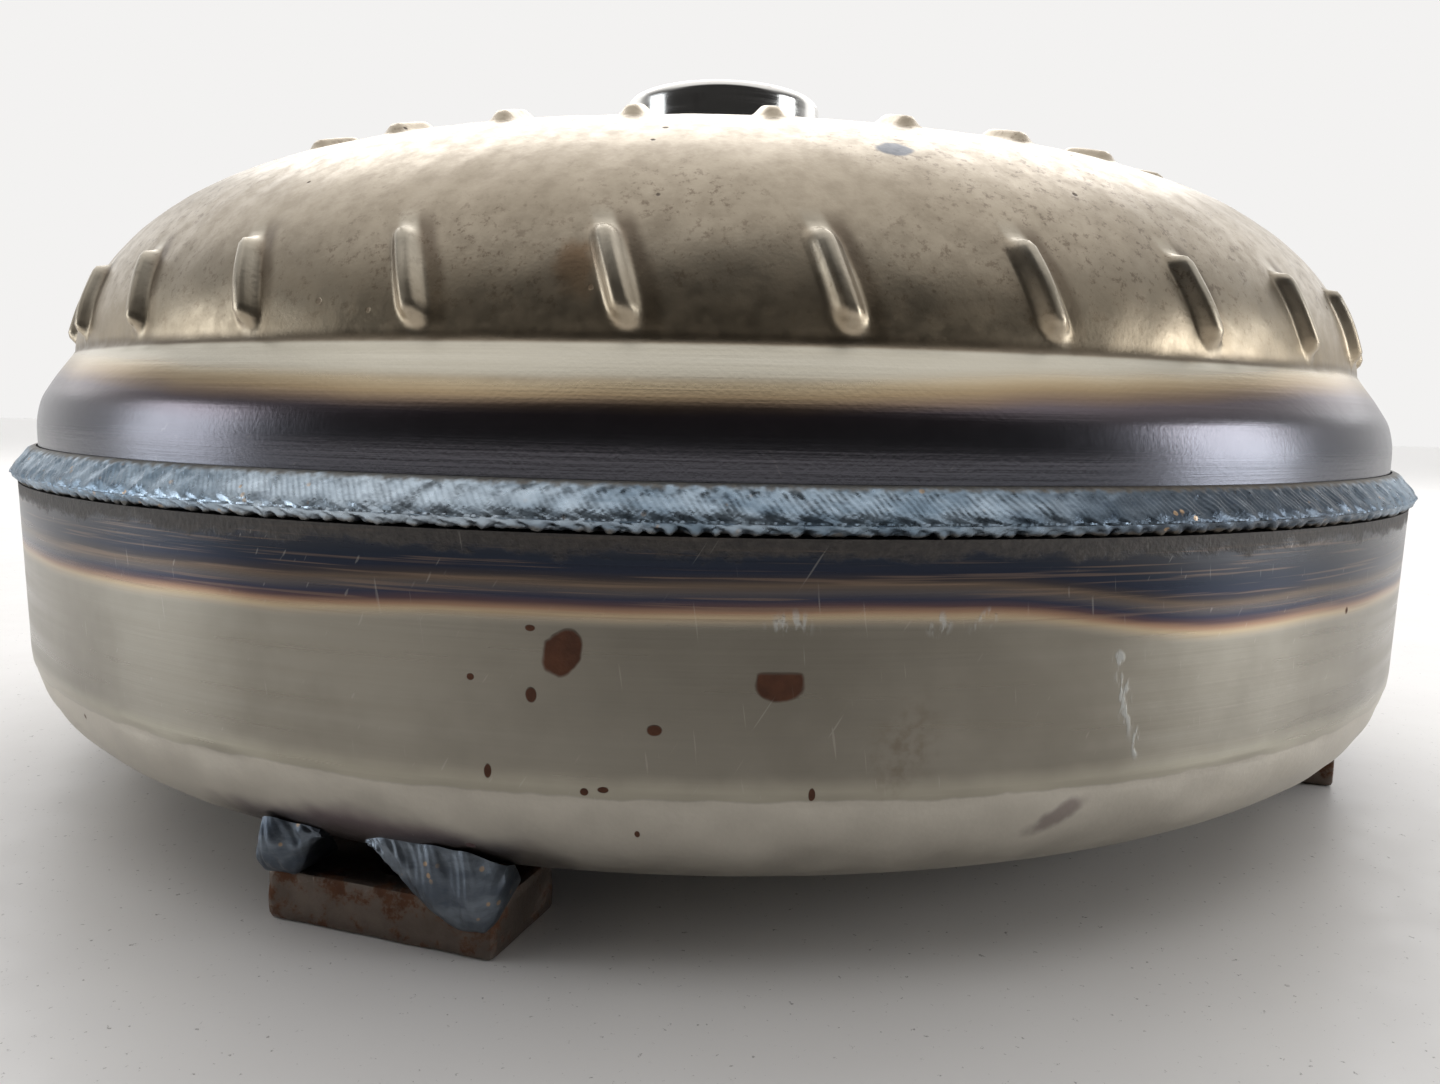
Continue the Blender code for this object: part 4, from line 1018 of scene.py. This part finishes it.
def make_lights():
    """A bright ceiling and back wall, lights at the sides and behind, and a dark room in front."""
    world = bpy.data.worlds.new("studio")
    bpy.context.scene.world = world
    world.use_nodes = True
    tree = world.node_tree
    background = tree.nodes["Background"]

    def ramp(source, low, high, to_low, to_high):
        made = tree.nodes.new("ShaderNodeMapRange")
        made.interpolation_type = "SMOOTHSTEP"
        tree.links.new(source, made.inputs["Value"])
        for name, value in zip(("From Min", "From Max", "To Min", "To Max"), (low, high, to_low, to_high)):
            made.inputs[name].default_value = value
        return made.outputs[0]

    def joined(operation, a, b):
        made = tree.nodes.new("ShaderNodeMath")
        made.operation = operation
        tree.links.new(a, made.inputs[0])
        tree.links.new(b, made.inputs[1])
        return made.outputs[0]

    place = tree.nodes.new("ShaderNodeTexCoord")
    split = tree.nodes.new("ShaderNodeSeparateXYZ")
    tree.links.new(place.outputs["Generated"], split.inputs[0])
    back = ramp(split.outputs["Y"], -0.15, 0.95, FRONT_GLOW, BACK_GLOW)
    ceiling = ramp(split.outputs["Z"], 0.35, 0.85, 0.0, CEILING_GLOW)
    overhead = ramp(split.outputs["Y"], -0.62, -0.28, 0.0, 1.0)
    glow = joined("ADD", back, joined("MULTIPLY", ceiling, overhead))
    tree.links.new(glow, background.inputs["Strength"])
    background.inputs["Color"].default_value = tone(252, 251, 250)

    # The camera sees an even pale backdrop
    backdrop = tree.nodes.new("ShaderNodeBackground")
    backdrop.inputs["Color"].default_value = tone(243, 242, 241)
    rays = tree.nodes.new("ShaderNodeLightPath")
    either = tree.nodes.new("ShaderNodeMixShader")
    tree.links.new(rays.outputs["Is Camera Ray"], either.inputs[0])
    tree.links.new(background.outputs[0], either.inputs[1])
    tree.links.new(backdrop.outputs[0], either.inputs[2])
    tree.links.new(either.outputs[0], tree.nodes["World Output"].inputs["Surface"])
    for light in LIGHTS:
        area_light(*light)


def make_camera():
    """Looks from EYE along +Y, turned by YAW, tilted down by PITCH and rolled by ROLL."""
    ahead = Vector((math.sin(YAW) * math.cos(PITCH), math.cos(YAW) * math.cos(PITCH), -math.sin(PITCH)))
    level = Vector((math.cos(YAW), -math.sin(YAW), 0.0))
    upright = level.cross(ahead)
    right = level * math.cos(ROLL) + upright * math.sin(ROLL)
    up = upright * math.cos(ROLL) - level * math.sin(ROLL)
    camera = bpy.data.objects.new("camera", bpy.data.cameras.new("camera"))
    bpy.context.scene.collection.objects.link(camera)
    camera.data.lens, camera.data.sensor_width = LENS, SENSOR
    camera.data.clip_start = 0.01
    camera.matrix_world = Matrix.Translation(EYE) @ Matrix((right, up, -ahead)).transposed().to_4x4()
    bpy.context.scene.camera = camera


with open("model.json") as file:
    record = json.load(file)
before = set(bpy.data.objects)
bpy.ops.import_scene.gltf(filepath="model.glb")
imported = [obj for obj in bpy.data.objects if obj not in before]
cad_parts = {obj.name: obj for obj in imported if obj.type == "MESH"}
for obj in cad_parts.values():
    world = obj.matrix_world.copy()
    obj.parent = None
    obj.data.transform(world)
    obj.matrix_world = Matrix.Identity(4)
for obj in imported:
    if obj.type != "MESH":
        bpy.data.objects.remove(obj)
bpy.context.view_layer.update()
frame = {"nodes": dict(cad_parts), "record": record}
bpy.context.scene.view_settings.view_transform = "Standard"
make_camera()

girth_bead = weld_material("girth_weld_scale", *GIRTH_EDGES)
small_bead = weld_material("small_weld_scale", *NO_EDGES, dull=0.8)
lug_steel = lug_material()
hub_steel = ground_material("hub_steel", tone(214, 212, 208), tone(240, 238, 234), 0.16, 0.2)
pilot_steel = ground_material("pilot_steel", tone(150, 146, 138), tone(190, 186, 178), 0.3, 0.35)
spring_steel = pressed_material("spring_steel", tone(66, 68, 74), tone(104, 108, 116), 0.32, size=3.0)
make_cover(cover_material())
make_impeller_shell(impeller_material())
make_girth_weld(girth_bead)
make_hub(hub_steel)
make_hub_weld(small_bead)
make_pilot(pilot_steel)
make_lugs(lug_steel, small_bead)
make_damper_springs(spring_steel)
bearing_steel = ground_material("bearing_steel", tone(170, 172, 174), tone(206, 208, 210), 0.2, 0.1)
inner = {"bearing_steel": bearing_steel}
for name, low, high, roughness, metallic, size in (
    ("blade_steel", (150, 140, 120), (190, 180, 158), 0.4, 1.0, 6.0),
    ("pressed_plate", (140, 140, 140), (176, 176, 174), 0.38, 1.0, 6.0),
    ("rivet_steel", (140, 138, 134), (182, 180, 176), 0.35, 1.0, 3.0),
    ("cast_aluminium", (176, 176, 174), (206, 206, 204), 0.5, 1.0, 6.0),
    ("friction_lining", (58, 44, 34), (92, 72, 56), 0.9, 0.0, 6.0),
    ("polymer", (50, 46, 42), (76, 70, 62), 0.55, 0.0, 6.0),
):
    inner[name] = pressed_material(name, tone(*low), tone(*high), roughness, metallic, size)
finish_inner_nodes(inner)
make_floor()
make_lights()
